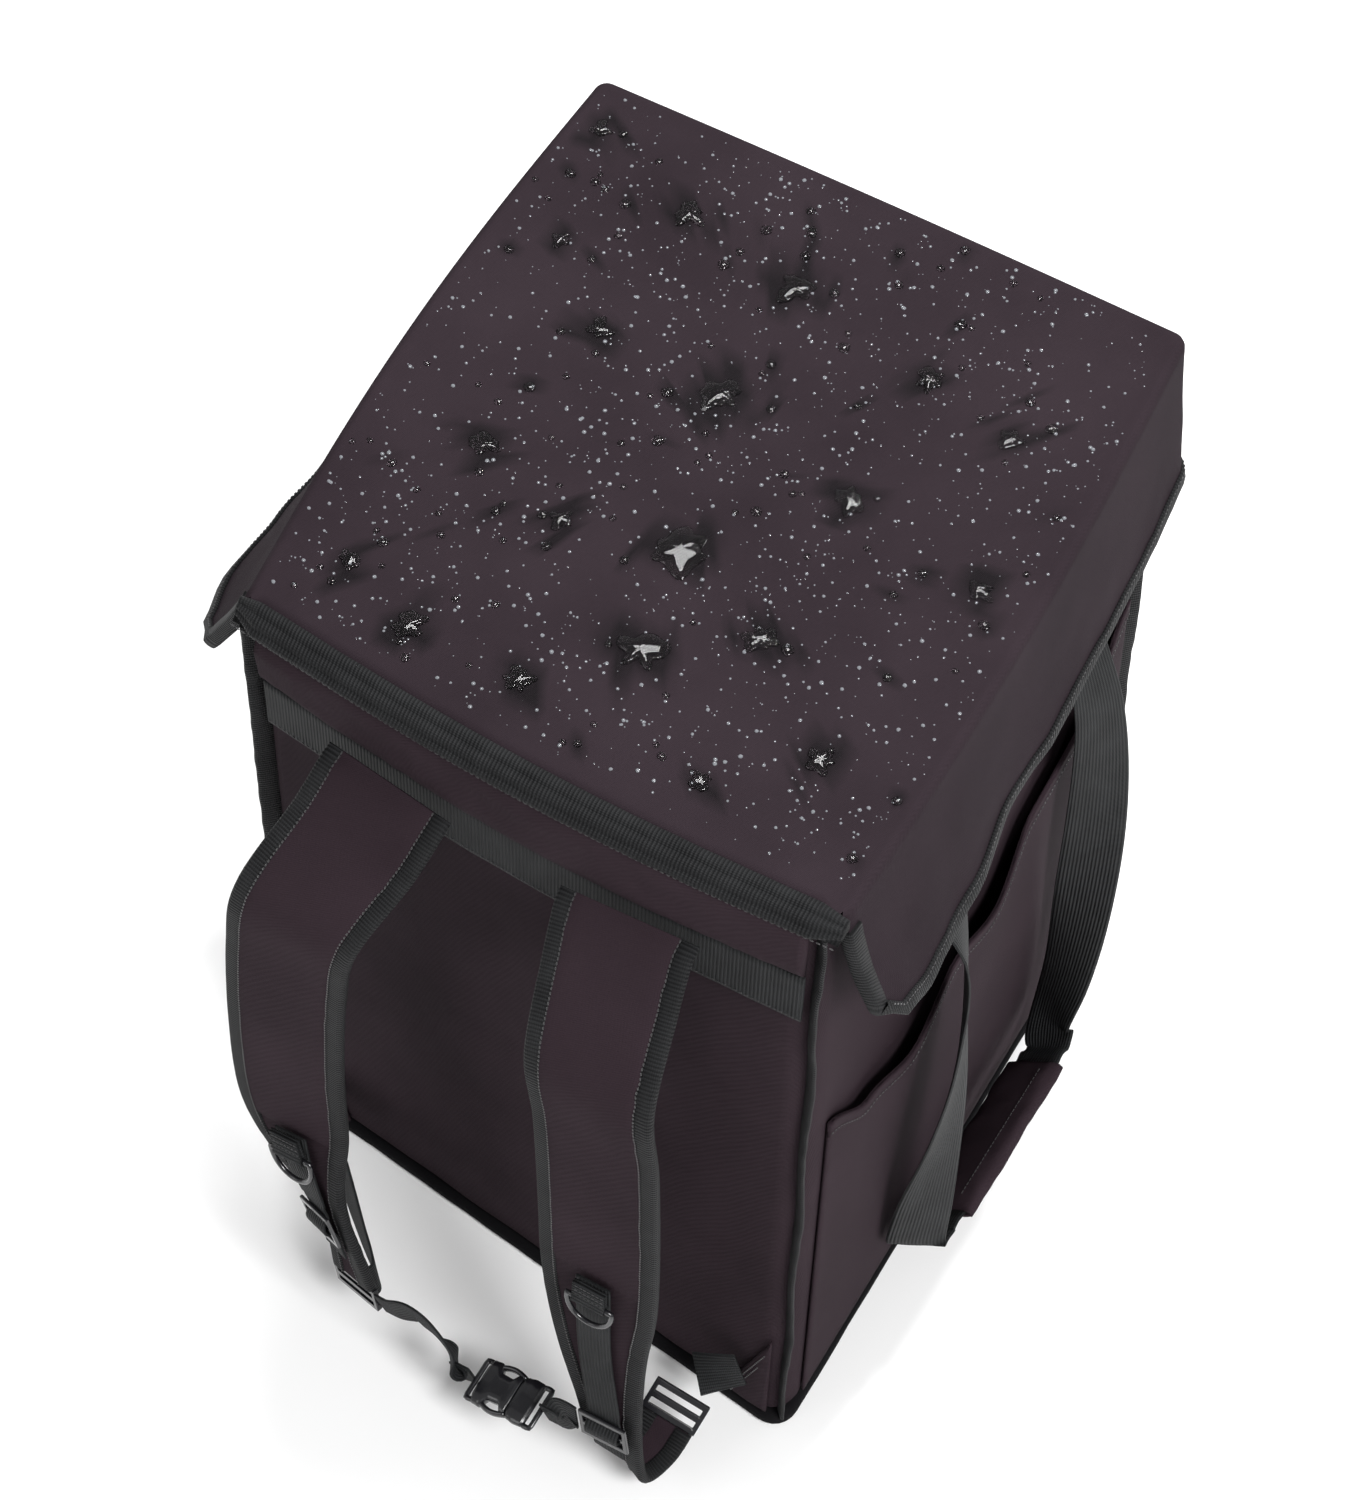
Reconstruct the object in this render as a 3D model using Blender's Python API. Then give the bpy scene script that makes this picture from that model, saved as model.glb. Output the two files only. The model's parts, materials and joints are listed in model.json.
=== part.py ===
"""Insulated delivery backpack: a tall soft box with padded walls, a lid with hanging flaps,
two padded shoulder straps with their webbing and buckles, a slip pocket and carry handles.

Units are metres, +Z up. The back panel, which carries the shoulder straps, faces -Y and
the origin is the middle of the flat underside. Every piece is first drawn on a straight
box, and soft() then leans and bows that box into the slightly twisted form of the filled bag.
"""

import math

import bmesh
import bpy
from mathutils import Matrix, Vector

# Main sizes
BAG_WIDTH = 0.420
BAG_DEPTH = 0.455
BAG_HEIGHT = 0.609
WALL_THICKNESS = 0.010
CORNER_RADIUS = 0.020
FIT_GAP = 0.0004

# Base
BASE_THICKNESS = 0.012
BASE_LEDGE = 0.004

# Lid
LID_THICKNESS = 0.006
LID_CORNER_RADIUS = 0.009
LID_EDGE_RADIUS = 0.004
FLAP_LENGTH = 0.115
FLAP_CLEARANCE = 0.004
HINGE_SEAM_WIDTH = 0.013
HINGE_SEAM_HEIGHT = 0.013
HINGE_RIDGE = 0.0016

# Tape, webbing and plastic
TAPE_THICKNESS = 0.0014
TAPE_GAP = 0.0013
TAPE_WIDTH = 0.010
EDGE_FIN_THICKNESS = 0.003
EDGE_FIN_WIDTH = 0.009
WEBBING_THICKNESS = 0.0018
NARROW_WEBBING = 0.025
LOWER_WEBBING = 0.032
WIDE_WEBBING = 0.040

# Back panel
STRIP_HEIGHT = 0.056
STRIP_THICKNESS = 0.008
BAND_DROP = 0.042

# Pocket on the right side
POCKET_THICKNESS = 0.0025
POCKET_HEIGHT = 0.370
POCKET_GAPE = 0.009

# Shoulder straps
STRAP_WIDTH = 0.083
STRAP_TOP_WIDTH = 0.088
STRAP_ROOT_LIFT = 0.0025
STRAP_TAIL_WIDTH = 0.038
STRAP_THICKNESS = 0.009
STRAP_SPACING = 0.164
STRAP_REACH = 0.084
STRAP_DROP = 0.520
STRAP_SPREAD = 0.080
RING_WIDTH = 0.032
RING_DEPTH = 0.023
RING_WIRE = 0.0036
RING_TAB_LENGTH = 0.018
GLIDE_WIDTH = 0.036
GLIDE_HEIGHT = 0.026
GLIDE_BAR = 0.0040
LOCK_WIDTH = 0.040
LOCK_HEIGHT = 0.022
BUCKLE_LENGTH = 0.056
BUCKLE_WIDTH = 0.034
BUCKLE_THICKNESS = 0.010
LOWER_WEBBING_SAG = 0.006
CHEST_WEBBING = 0.025
CHEST_TILT = 8.0
CHEST_SAG = 0.030
CHEST_BUCKLE_START = 0.48
PATCH_WIDTH = 0.034
PATCH_HEIGHT = 0.098
PATCH_WRAP = 0.008

# Carry handles
HANDLE_DROP = 0.470
HANDLE_REACH = 0.030
HANDLE_SPACING = 0.190
HANDLE_ROOT_SHARE = 0.72
HANDLE_TURN = 0.010
GRIP_TILT = 40.0
GRIP_SHIFT = 0.005
GRIP_LENGTH = 0.130
GRIP_WIDTH = 0.048
GRIP_THICKNESS = 0.014

# How far each upright wall bows out at its middle, at full height
BOW_LEFT = 0.012
BOW_RIGHT = 0.008
BOW_BACK = 0.011
BOW_FRONT = 0.002
BOW_FULL_HEIGHT = 0.8

# Shift of the box's corners as the filled bag leans and twists, in shares of width, depth
# and height: side, end, foot across, foot along, head across, head along, head up
CORNER_SHIFTS = (
    (-1, -1, 0.010, 0.051, 0.051, 0.016, -0.009),
    (1, -1, 0.009, -0.058, 0.006, -0.011, -0.004),
    (1, 1, -0.011, -0.019, -0.047, 0.011, 0.017),
    (-1, 1, 0.000, 0.000, -0.019, 0.009, 0.013),
)

# Flare of a flap's lower edge, as a share of the flap's length, at shares of the way from
# the back end to the front: share, right flap, left flap, share of the full length there
FLAP_FLARES = (
    (0.00, 0.30, 0.42, 0.66),
    (0.05, 0.31, 0.46, 0.86),
    (0.12, 0.28, 0.47, 0.97),
    (0.25, 0.21, 0.42, 1.00),
    (0.42, 0.11, 0.35, 1.00),
    (0.55, 0.15, 0.30, 0.99),
    (0.70, 0.12, 0.24, 1.00),
    (0.85, 0.14, 0.17, 0.99),
    (1.00, 0.09, 0.08, 1.00),
)
FRONT_FLARE = 0.09

# Mouth of the pocket, from the back edge to the front: share along, share of POCKET_HEIGHT,
# share of POCKET_GAPE
POCKET_MOUTH = (
    (0.00, 0.98, 0.0),
    (0.10, 0.91, 0.5),
    (0.22, 0.88, 1.0),
    (0.36, 0.93, 0.6),
    (0.48, 0.90, 0.9),
    (0.62, 0.98, 0.5),
    (0.80, 0.99, 0.6),
    (1.00, 1.05, 0.0),
)

# Centre line of a shoulder strap from its root: drop as a share of STRAP_DROP, reach of
# STRAP_REACH, spread of STRAP_SPREAD, blend from full to tail width, turn and tilt of its
# face in degrees
STRAP_RIGHT = (
    (0.000, 0.00, 0.00, 0.00, 0, 0),
    (0.012, 0.12, 0.01, 0.00, 0, 0),
    (0.056, 0.36, 0.06, 0.00, 0, 0),
    (0.145, 0.80, 0.17, 0.00, 0, 0),
    (0.263, 0.85, 0.25, 0.00, 0, 0),
    (0.442, 0.87, 0.28, 0.00, 0, 0),
    (0.600, 0.89, 0.29, 0.05, 0, 0),
    (0.723, 0.93, 0.32, 0.35, 0, 0),
    (0.842, 1.02, 0.45, 0.75, 0, 0),
    (0.940, 1.06, 0.55, 0.90, -6, -5),
    (0.988, 0.98, 0.65, 1.00, -16, -16),
    (0.990, 0.80, 0.72, 1.00, -28, -26),
    (0.972, 0.62, 0.75, 1.00, -35, -34),
)
STRAP_LEFT = (
    (0.000, 0.00, 0.08, 0.00, 0, 0),
    (0.012, 0.12, 0.10, 0.00, 0, 0),
    (0.056, 0.36, 0.18, 0.00, 0, 0),
    (0.145, 0.80, 0.40, 0.00, 0, 0),
    (0.263, 0.85, 0.52, 0.00, 0, 0),
    (0.442, 0.87, 0.60, 0.00, 0, 0),
    (0.600, 0.89, 0.60, 0.05, 0, 0),
    (0.690, 0.93, 0.50, 0.35, -8, 0),
    (0.760, 0.99, 0.30, 0.75, -20, 0),
    (0.825, 1.04, 0.12, 1.00, -22, 0),
    (0.895, 1.07, 0.03, 1.00, -14, 0),
)

# Places along a strap, as shares of its length: ring, slider, end of the narrow webbing
RIGHT_STATIONS = (0.585, 0.845, 0.890)
LEFT_STATIONS = (0.745, 0.875, 0.930)

# Leg of a carry handle from its root under the flap: drop as a share of HANDLE_DROP, reach
# of HANDLE_REACH, inward move as a share of HANDLE_SPACING, turn of the webbing in degrees
# at the front and at the back leg
HANDLE_LEG = (
    (0.00, 0.00, 0.00, 0, 0),
    (0.10, 0.24, 0.01, 4, -6),
    (0.22, 0.80, 0.02, 24, -30),
    (0.42, 1.02, 0.01, 52, -20),
    (0.65, 1.02, -0.01, 82, 10),
    (0.85, 0.88, -0.03, 108, 45),
    (0.97, 0.76, -0.01, 122, 60),
)

# Way that the lower webbing leaves its ladder lock: share straight on, share to the back
LOWER_WEBBING_WAYS = {"left": (0.0, 1.0), "right": (1.0, 0.0)}

# Left chest strap from its fitting: share of the way to the buckle, rise as a share of
# CHEST_SAG
CHEST_LEFT = ((0.0, 0.0), (0.15, 0.25), (0.35, 0.8), (0.55, 0.75), (0.72, 0.35))

SMOOTH_STEPS = 3
HANDLE_STEPS = 2


def lerp(low, high, share):
    return low + (high - low) * share


def table_value(rows, share, column):
    """A smooth value of the table's column at this share of the way, its first column."""
    for low, high in zip(rows, rows[1:]):
        if share <= high[0]:
            t = (share - low[0]) / (high[0] - low[0])
            return lerp(low[column], high[column], t * t * (3 - 2 * t))
    return rows[-1][column]


def bow(height):
    """Share of the full bow that a wall has at this height."""
    rise = min(max(height / (BAG_HEIGHT * BOW_FULL_HEIGHT), 0.0), 1.0)
    return math.sin(rise * math.pi / 2)


def soft(x, y, z):
    """The place on the leaning, bowed bag of a point on the straight box."""
    share = min(max(z / BAG_HEIGHT, 0.0), 1.2)
    across = min(max(x / BAG_WIDTH, -0.5), 0.5)
    along = min(max(y / BAG_DEPTH, -0.5), 0.5)
    bow_side = BOW_RIGHT if x > 0 else BOW_LEFT
    bowed_x = 2 * across * bow_side * bow(z) * math.cos(math.pi * along)
    bow_end = BOW_FRONT if y > 0 else BOW_BACK
    bowed_y = 2 * along * bow_end * bow(z) * math.cos(math.pi * across)
    point = Vector((x + bowed_x, y + bowed_y, z))
    for side, end, foot_x, foot_y, head_x, head_y, head_z in CORNER_SHIFTS:
        weight = (0.5 + side * across) * (0.5 + end * along)
        point.x += weight * lerp(foot_x, head_x, share) * BAG_WIDTH
        point.y += weight * lerp(foot_y, head_y, share) * BAG_DEPTH
        point.z += weight * head_z * share * BAG_HEIGHT
    return point


def rounded_outline(low_x, low_y, high_x, high_y, radius, side_steps, corner_steps):
    """Points anticlockwise round a rectangle with rounded corners, from the back left."""
    corners = (
        (low_x + radius, low_y + radius, 180),
        (high_x - radius, low_y + radius, 270),
        (high_x - radius, high_y - radius, 0),
        (low_x + radius, high_y - radius, 90),
    )
    points = []
    for index, (x, y, start) in enumerate(corners):
        for step in range(corner_steps + 1):
            angle = math.radians(start + 90 * step / corner_steps)
            points.append((x + radius * math.cos(angle), y + radius * math.sin(angle)))
        next_x, next_y, next_start = corners[(index + 1) % 4]
        angle = math.radians(next_start)
        end = (next_x + radius * math.cos(angle), next_y + radius * math.sin(angle))
        begin = points[-1]
        for step in range(1, side_steps):
            t = step / side_steps
            points.append((lerp(begin[0], end[0], t), lerp(begin[1], end[1], t)))
    return points


def make_material(name, colour, roughness, metallic=0.0):
    material = bpy.data.materials.new(name)
    material.use_nodes = True
    shader = material.node_tree.nodes["Principled BSDF"]
    shader.inputs["Base Color"].default_value = (*colour, 1.0)
    shader.inputs["Roughness"].default_value = roughness
    shader.inputs["Metallic"].default_value = metallic
    return material


def add_object(name, builder, material, parent=None):
    """An object from a bmesh, with its faces turned out and shaded smooth."""
    bmesh.ops.recalc_face_normals(builder, faces=builder.faces)
    if builder.calc_volume(signed=True) < 0:
        bmesh.ops.reverse_faces(builder, faces=builder.faces)
    mesh = bpy.data.meshes.new(name)
    builder.to_mesh(mesh)
    builder.free()
    mesh.materials.append(material)
    mesh.shade_smooth()
    mesh.set_sharp_from_angle(angle=math.radians(40))
    obj = bpy.data.objects.new(name, mesh)
    bpy.context.scene.collection.objects.link(obj)
    if parent:
        obj.parent = parent
        obj.matrix_parent_inverse = parent.matrix_world.inverted()
    return obj


def bridge_rings(builder, rings, closed_length=False):
    """Faces between rings of vertices, which are loops with equal counts."""
    pairs = list(zip(rings, rings[1:]))
    if closed_length:
        pairs.append((rings[-1], rings[0]))
    for lower, upper in pairs:
        for index in range(len(lower)):
            after = (index + 1) % len(lower)
            builder.faces.new((lower[index], lower[after], upper[after], upper[index]))


def tube(name, sections, material, closed_length=False, parent=None):
    """A closed solid through sections, each a loop of points."""
    builder = bmesh.new()
    rings = [[builder.verts.new(point) for point in section] for section in sections]
    bridge_rings(builder, rings, closed_length)
    if not closed_length:
        builder.faces.new(rings[0])
        builder.faces.new(rings[-1])
    return add_object(name, builder, material, parent)


def flat_band(name, sections, material):
    """A closed solid through sections of four points. Its two faces have the same diagonals,
    so that they stay a band's thickness apart where it twists."""
    builder = bmesh.new()
    rings = [[builder.verts.new(point) for point in section] for section in sections]
    for low, high in zip(rings, rings[1:]):
        for quad in ((low[0], low[1], high[1], high[0]), (low[2], low[3], high[3], high[2])):
            builder.faces.new(quad)
        for one, two in ((1, 2), (0, 3)):
            builder.faces.new((low[one], low[two], high[two]))
            builder.faces.new((low[one], high[two], high[one]))
    builder.faces.new(rings[0])
    builder.faces.new(rings[-1])
    return add_object(name, builder, material)


def smooth_rows(rows, steps=SMOOTH_STEPS):
    """Rows of numbers or vectors with smooth steps between them (Catmull-Rom)."""
    result = []
    for index in range(len(rows) - 1):
        before = rows[max(index - 1, 0)]
        low, high = rows[index], rows[index + 1]
        after = rows[min(index + 2, len(rows) - 1)]
        for step in range(steps):
            t = step / steps
            result.append([
                0.5 * ((2 * b) + (c - a) * t + (2 * a - 5 * b + 4 * c - d) * t * t
                       + (3 * b - a - 3 * c + d) * t ** 3)
                for a, b, c, d in zip(before, low, high, after)
            ])
    result.append(list(rows[-1]))
    return result


def frames_along(centres, across):
    """For each centre: the centre, its unit direction across and its unit face normal."""
    frames = []
    for index, (centre, side) in enumerate(zip(centres, across)):
        ahead = centres[min(index + 1, len(centres) - 1)]
        behind = centres[max(index - 1, 0)]
        tangent = (ahead - behind).normalized()
        side = (side - tangent * side.dot(tangent)).normalized()
        frames.append((centre, side, tangent.cross(side).normalized()))
    return frames


def band_sections(frames, widths, thickness, lift=0.0, offset=0.0, crown=0.0):
    """Sections of a flat band: lift is along the face normal and offset is across."""
    sections = []
    for (centre, side, normal), width in zip(frames, widths):
        middle = centre + normal * lift + side * offset
        half, thin = width / 2, thickness / 2
        edge = half * 0.86 if crown else half
        outline = [(-half, -thin * (1 - crown)), (-half, thin * (1 - crown))]
        if crown:
            outline += [(-edge, thin), (0.0, thin * (1 + crown)), (edge, thin)]
        outline += [(half, thin * (1 - crown)), (half, -thin * (1 - crown))]
        if crown:
            outline += [(edge, -thin), (0.0, -thin * (1 + crown)), (-edge, -thin)]
        sections.append([middle + side * a + normal * b for a, b in outline])
    return sections


def fold_sections(frames, widths, edge, core_thickness, reach):
    """Sections of a tape folded round one edge of a band: edge is -1 or 1 across it."""
    outer = core_thickness / 2 + TAPE_GAP + TAPE_THICKNESS
    inner = core_thickness / 2 + TAPE_GAP
    sections = []
    for (centre, side, normal), width in zip(frames, widths):
        rim = centre + side * edge * width / 2
        out = side * edge
        outline = (
            (-reach, outer), (TAPE_GAP + TAPE_THICKNESS, outer),
            (TAPE_GAP + TAPE_THICKNESS, -outer), (-reach, -outer),
            (-reach, -inner), (TAPE_GAP, -inner), (TAPE_GAP, inner), (-reach, inner),
        )
        sections.append([rim + out * a + normal * b for a, b in outline])
    return sections


def wall_outline(height, inset, radius, side_steps=8, corner_steps=3):
    """Outline of the body's wall on the leaning bag, inset from its outer face."""
    share = height / BAG_HEIGHT
    side_inset = lerp(BASE_LEDGE, LID_THICKNESS + FLAP_CLEARANCE, share) + inset
    low_y = -BAG_DEPTH / 2 + BASE_LEDGE + inset
    high_x = BAG_WIDTH / 2 - side_inset
    high_y = BAG_DEPTH / 2 - side_inset
    flat = rounded_outline(-high_x, low_y, high_x, high_y, radius, side_steps, corner_steps)
    return [soft(x, y, height) for x, y in flat]


def make_base(material):
    half_x, half_y = BAG_WIDTH / 2, BAG_DEPTH / 2
    flat = rounded_outline(-half_x, -half_y, half_x, half_y, CORNER_RADIUS, 6, 3)
    chamfer = BASE_THICKNESS / 4
    levels = ((0.0, chamfer), (chamfer, 0.0), (BASE_THICKNESS - chamfer, 0.0), (BASE_THICKNESS, chamfer))
    sections = []
    for height, inset in levels:
        scale_x, scale_y = 1 - inset / half_x, 1 - inset / half_y
        level = [soft(x * scale_x, y * scale_y, 0.0) for x, y in flat]
        sections.append([Vector((point.x, point.y, height)) for point in level])
    return tube("base_panel", sections, material)


def make_body(material):
    """The padded box: an outer skin, an inner skin and the rim between them."""
    foot = BASE_THICKNESS + FIT_GAP
    rim = BAG_HEIGHT - LID_THICKNESS - FIT_GAP
    floor = foot + WALL_THICKNESS
    outer_levels = [lerp(foot, rim, share) for share in (0, 0.02, 0.15, 0.3, 0.45, 0.6, 0.75, 0.9, 1)]
    inner_levels = [lerp(rim, floor, share) for share in (0, 0.2, 0.45, 0.7, 1)]
    inner_radius = CORNER_RADIUS - WALL_THICKNESS / 2
    builder = bmesh.new()
    rings = []
    for height in outer_levels:
        tuck = 0.002 if height == foot else 0.0
        rings.append([builder.verts.new(p) for p in wall_outline(height, tuck, CORNER_RADIUS)])
    for height in inner_levels:
        outline = wall_outline(height, WALL_THICKNESS, inner_radius)
        rings.append([builder.verts.new(p) for p in outline])
    bridge_rings(builder, rings)
    builder.faces.new(rings[0])
    builder.faces.new(rings[-1])
    return add_object("body_shell", builder, material)


def make_edge_binding(name, side, end, material):
    """The bound upright seam at one corner: a fin that stands out along the diagonal."""
    foot = BASE_THICKNESS + FIT_GAP
    head = BAG_HEIGHT - (FLAP_LENGTH + TAPE_WIDTH / 2 if end > 0 else HINGE_SEAM_HEIGHT)
    diagonal = Vector((side, end, 0)).normalized()
    along = Vector((-end, side, 0)).normalized() * side * end
    sections = []
    count = 14
    for index in range(count + 1):
        height = lerp(foot, head, index / count)
        share = height / BAG_HEIGHT
        side_inset = lerp(BASE_LEDGE, LID_THICKNESS + FLAP_CLEARANCE, share)
        end_inset = side_inset if end > 0 else BASE_LEDGE
        corner_x = side * (BAG_WIDTH / 2 - side_inset - CORNER_RADIUS)
        corner_y = end * (BAG_DEPTH / 2 - end_inset - CORNER_RADIUS)
        centre = soft(corner_x, corner_y, height)
        start = centre + diagonal * (CORNER_RADIUS * 1.03 + FIT_GAP)
        wave = along * 0.0015 * math.sin(index * 1.7)
        half = along * EDGE_FIN_THICKNESS / 2
        stop = start + diagonal * EDGE_FIN_WIDTH + wave
        sections.append([start - half, start + half, stop + half, stop - half])
    return tube(name, sections, material)


def lid_outline(side_steps=9, corner_steps=3):
    """The lid's plan from back left along the left, front and right to the back right."""
    half_x, half_y = BAG_WIDTH / 2, BAG_DEPTH / 2
    back = -half_y + HINGE_SEAM_WIDTH
    radius = LID_CORNER_RADIUS
    rows = []
    for step in range(side_steps):
        rows.append((-half_x, lerp(back, half_y - radius, step / side_steps), -1, 0))
    for step in range(corner_steps + 1):
        angle = math.radians(180 - 90 * step / corner_steps)
        out_x, out_y = math.cos(angle), math.sin(angle)
        rows.append((-half_x + radius * (1 + out_x), half_y - radius * (1 - out_y), out_x, out_y))
    for step in range(1, side_steps):
        rows.append((lerp(-half_x + radius, half_x - radius, step / side_steps), half_y, 0, 1))
    for step in range(corner_steps + 1):
        angle = math.radians(90 - 90 * step / corner_steps)
        out_x, out_y = math.cos(angle), math.sin(angle)
        rows.append((half_x - radius * (1 - out_x), half_y - radius * (1 - out_y), out_x, out_y))
    for step in range(1, side_steps + 1):
        rows.append((half_x, lerp(half_y - radius, back, step / side_steps), 1, 0))
    return rows


def flap_size(x, y, out_x):
    """Length of the flap and flare of its lower edge at this place of the lid's outline."""
    back = -BAG_DEPTH / 2 + HINGE_SEAM_WIDTH
    share = (y - back) / (BAG_DEPTH / 2 - back)
    side = table_value(FLAP_FLARES, share, 1 if x > 0 else 2)
    length = table_value(FLAP_FLARES, share, 3) * FLAP_LENGTH
    return length, lerp(FRONT_FLARE, side, abs(out_x)) * length


def flap_point(row, down):
    """A point of the flap's outer face, down as a share of the flap's length."""
    x, y, out_x, out_y = row
    length, flare = flap_size(x, y, out_x)
    fall = math.sqrt(length ** 2 - flare ** 2)
    lean = down ** 1.3 * flare
    return soft(x + out_x * lean, y + out_y * lean, BAG_HEIGHT - LID_EDGE_RADIUS - fall * down)


def make_lid(material):
    """The lid's top board and its three flaps as one sheet with thickness."""
    rows = lid_outline()
    half_x = BAG_WIDTH / 2
    back = -BAG_DEPTH / 2 + HINGE_SEAM_WIDTH
    back_steps = 9
    seam_end = half_x - LID_EDGE_RADIUS
    seam = [(lerp(seam_end, -seam_end, step / back_steps), back) for step in range(back_steps + 1)]
    loop = [(row[0], row[1]) for row in rows] + seam
    builder = bmesh.new()
    downs = (0.0, 0.06, 0.3, 0.55, 0.8, 1.0)
    skirt = [[builder.verts.new(flap_point(row, down)) for row in rows] for down in downs]
    edge = skirt[0] + [builder.verts.new(soft(x, y, BAG_HEIGHT)) for x, y in seam]
    rings = [edge]
    for scale, sag in ((0.975, 0.0), (0.85, 0.0), (0.6, 0.0012), (0.3, 0.0022)):
        ring = []
        for x, y in loop:
            middle_y = (back + BAG_DEPTH / 2) / 2
            point = soft(x * scale, middle_y + (y - middle_y) * scale, BAG_HEIGHT - sag)
            ring.append(builder.verts.new(point))
        rings.append(ring)
    bridge_rings(builder, rings)
    builder.faces.new(rings[-1])
    for upper, lower in zip(skirt, skirt[1:]):
        for index in range(len(rows) - 1):
            builder.faces.new((upper[index], upper[index + 1], lower[index + 1], lower[index]))
    bmesh.ops.recalc_face_normals(builder, faces=builder.faces)
    if rings[-1][0].link_faces[0].normal.z < 0:
        bmesh.ops.reverse_faces(builder, faces=builder.faces)
    mesh = bpy.data.meshes.new("lid")
    builder.to_mesh(mesh)
    builder.free()
    mesh.materials.append(material)
    mesh.shade_smooth()
    lid = bpy.data.objects.new("lid", mesh)
    bpy.context.scene.collection.objects.link(lid)
    shell = lid.modifiers.new("thickness", "SOLIDIFY")
    shell.thickness = LID_THICKNESS
    shell.offset = -1.0
    shell.use_even_offset = True
    return lid


def make_lid_binding(material):
    """Tape folded round the flaps' free edges: down one end, along the foot and up."""
    rows = lid_outline()
    start, stop = 0.10, 1.0
    path = [(rows[0], down, -1, 0) for down in (start, 0.4, 0.7, 0.92)]
    path += [(rows[0], stop, -1, 1)]
    path += [(row, stop, 0, 1) for row in rows[1:-1]]
    path += [(rows[-1], stop, -1, 1)]
    path += [(rows[-1], down, -1, 0) for down in (0.92, 0.7, 0.4, start)]
    back_way = Vector((0, 1, 0))
    nudge = 0.002
    reach = TAPE_WIDTH
    sections = []
    for row, down, toward_back, toward_foot in path:
        point = flap_point(row, down)
        downward = (flap_point(row, down + nudge) - flap_point(row, down - nudge)).normalized()
        position = rows.index(row)
        before, after = rows[max(position - 1, 0)], rows[min(position + 1, len(rows) - 1)]
        along = (flap_point(after, down) - flap_point(before, down)).normalized()
        normal = along.cross(downward).normalized()
        if normal.dot(Vector((row[2], row[3], 0))) < 0:
            normal = -normal
        away = -along if position == 0 else along
        if toward_back == 0:
            beyond = downward
        elif toward_foot == 0:
            beyond = away
        else:
            beyond = downward + away
        outer = TAPE_GAP + TAPE_THICKNESS
        inner = LID_THICKNESS + TAPE_GAP
        outline = (
            (outer, -reach), (outer, outer), (-inner - TAPE_THICKNESS, outer),
            (-inner - TAPE_THICKNESS, -reach), (-inner, -reach), (-inner, TAPE_GAP),
            (TAPE_GAP, TAPE_GAP), (TAPE_GAP, -reach),
        )
        sections.append([point + normal * a + beyond * b for a, b in outline])
    return tube("lid_binding", sections, material)


def make_hinge_binding(material):
    """The bound seam between lid and back panel, with three ridges along it."""
    half_x = BAG_WIDTH / 2 - 0.001
    outer = -BAG_DEPTH / 2 - 0.003
    inner = -BAG_DEPTH / 2 + HINGE_SEAM_WIDTH - 0.0012
    low = BAG_HEIGHT - LID_THICKNESS
    high = low + HINGE_SEAM_HEIGHT - 0.003
    ridges = 3
    outline = [(inner, low), (inner, high - 0.004)]
    outline += [(lerp(inner, outer, 0.35), high), (lerp(inner, outer, 0.75), high - 0.001)]
    for index in range(ridges):
        for share, dent in ((0.15, 0.0), (0.75, 0.0), (1.0, HINGE_RIDGE)):
            height = lerp(high - 0.002, low, (index + share) / ridges)
            outline.append((outer + dent, height))
    sections = []
    count = 14
    for index in range(count + 1):
        x = lerp(-half_x, half_x, index / count)
        sections.append([soft(x, y, z) for y, z in outline])
    return tube("hinge_binding", sections, material)


def back_face_y():
    """Outer face of the body's back wall on the straight box."""
    return -BAG_DEPTH / 2 + BASE_LEDGE


def make_back_strip(material):
    """Padded strip that crosses the back panel just under the hinge seam."""
    half_x = BAG_WIDTH / 2 - 0.018
    face = back_face_y() - FIT_GAP
    head = BAG_HEIGHT - LID_THICKNESS - 0.0006
    sections = []
    count = 14
    for index in range(count + 1):
        share = index / count
        x = lerp(-half_x, half_x, share)
        lift = 1.0 + 0.35 * (1 - math.sin(share * math.pi))
        foot = head - STRIP_HEIGHT * (1.35 - 0.35 * lift)
        outline = [(face, foot), (face, head)]
        for level, fullness in ((0.96, 0.55), (0.7, 0.95), (0.35, 1.0), (0.06, 0.6)):
            outline.append((face - STRIP_THICKNESS * fullness, lerp(foot, head, level)))
        sections.append([soft(x, y, z) for y, z in outline])
    return tube("back_strip", sections, material)


def make_back_webbing(material):
    """Wide webbing sewn across the back panel, with its upper edge under the strip."""
    half_x = BAG_WIDTH / 2 - 0.018
    face = back_face_y() - FIT_GAP
    head = BAG_HEIGHT - LID_THICKNESS - STRIP_HEIGHT - 0.001
    foot = head - BAND_DROP
    sections = []
    count = 12
    for index in range(count + 1):
        x = lerp(-half_x, half_x, index / count)
        outer = face - WEBBING_THICKNESS
        outline = [(face, foot), (face, head), (outer, head), (outer, foot)]
        sections.append([soft(x, y, z) for y, z in outline])
    return tube("back_webbing", sections, material)


def side_face_x(height):
    """Outer face of the body's side wall on the straight box at this height."""
    share = height / BAG_HEIGHT
    return BAG_WIDTH / 2 - lerp(BASE_LEDGE, LID_THICKNESS + FLAP_CLEARANCE, share)


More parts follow.
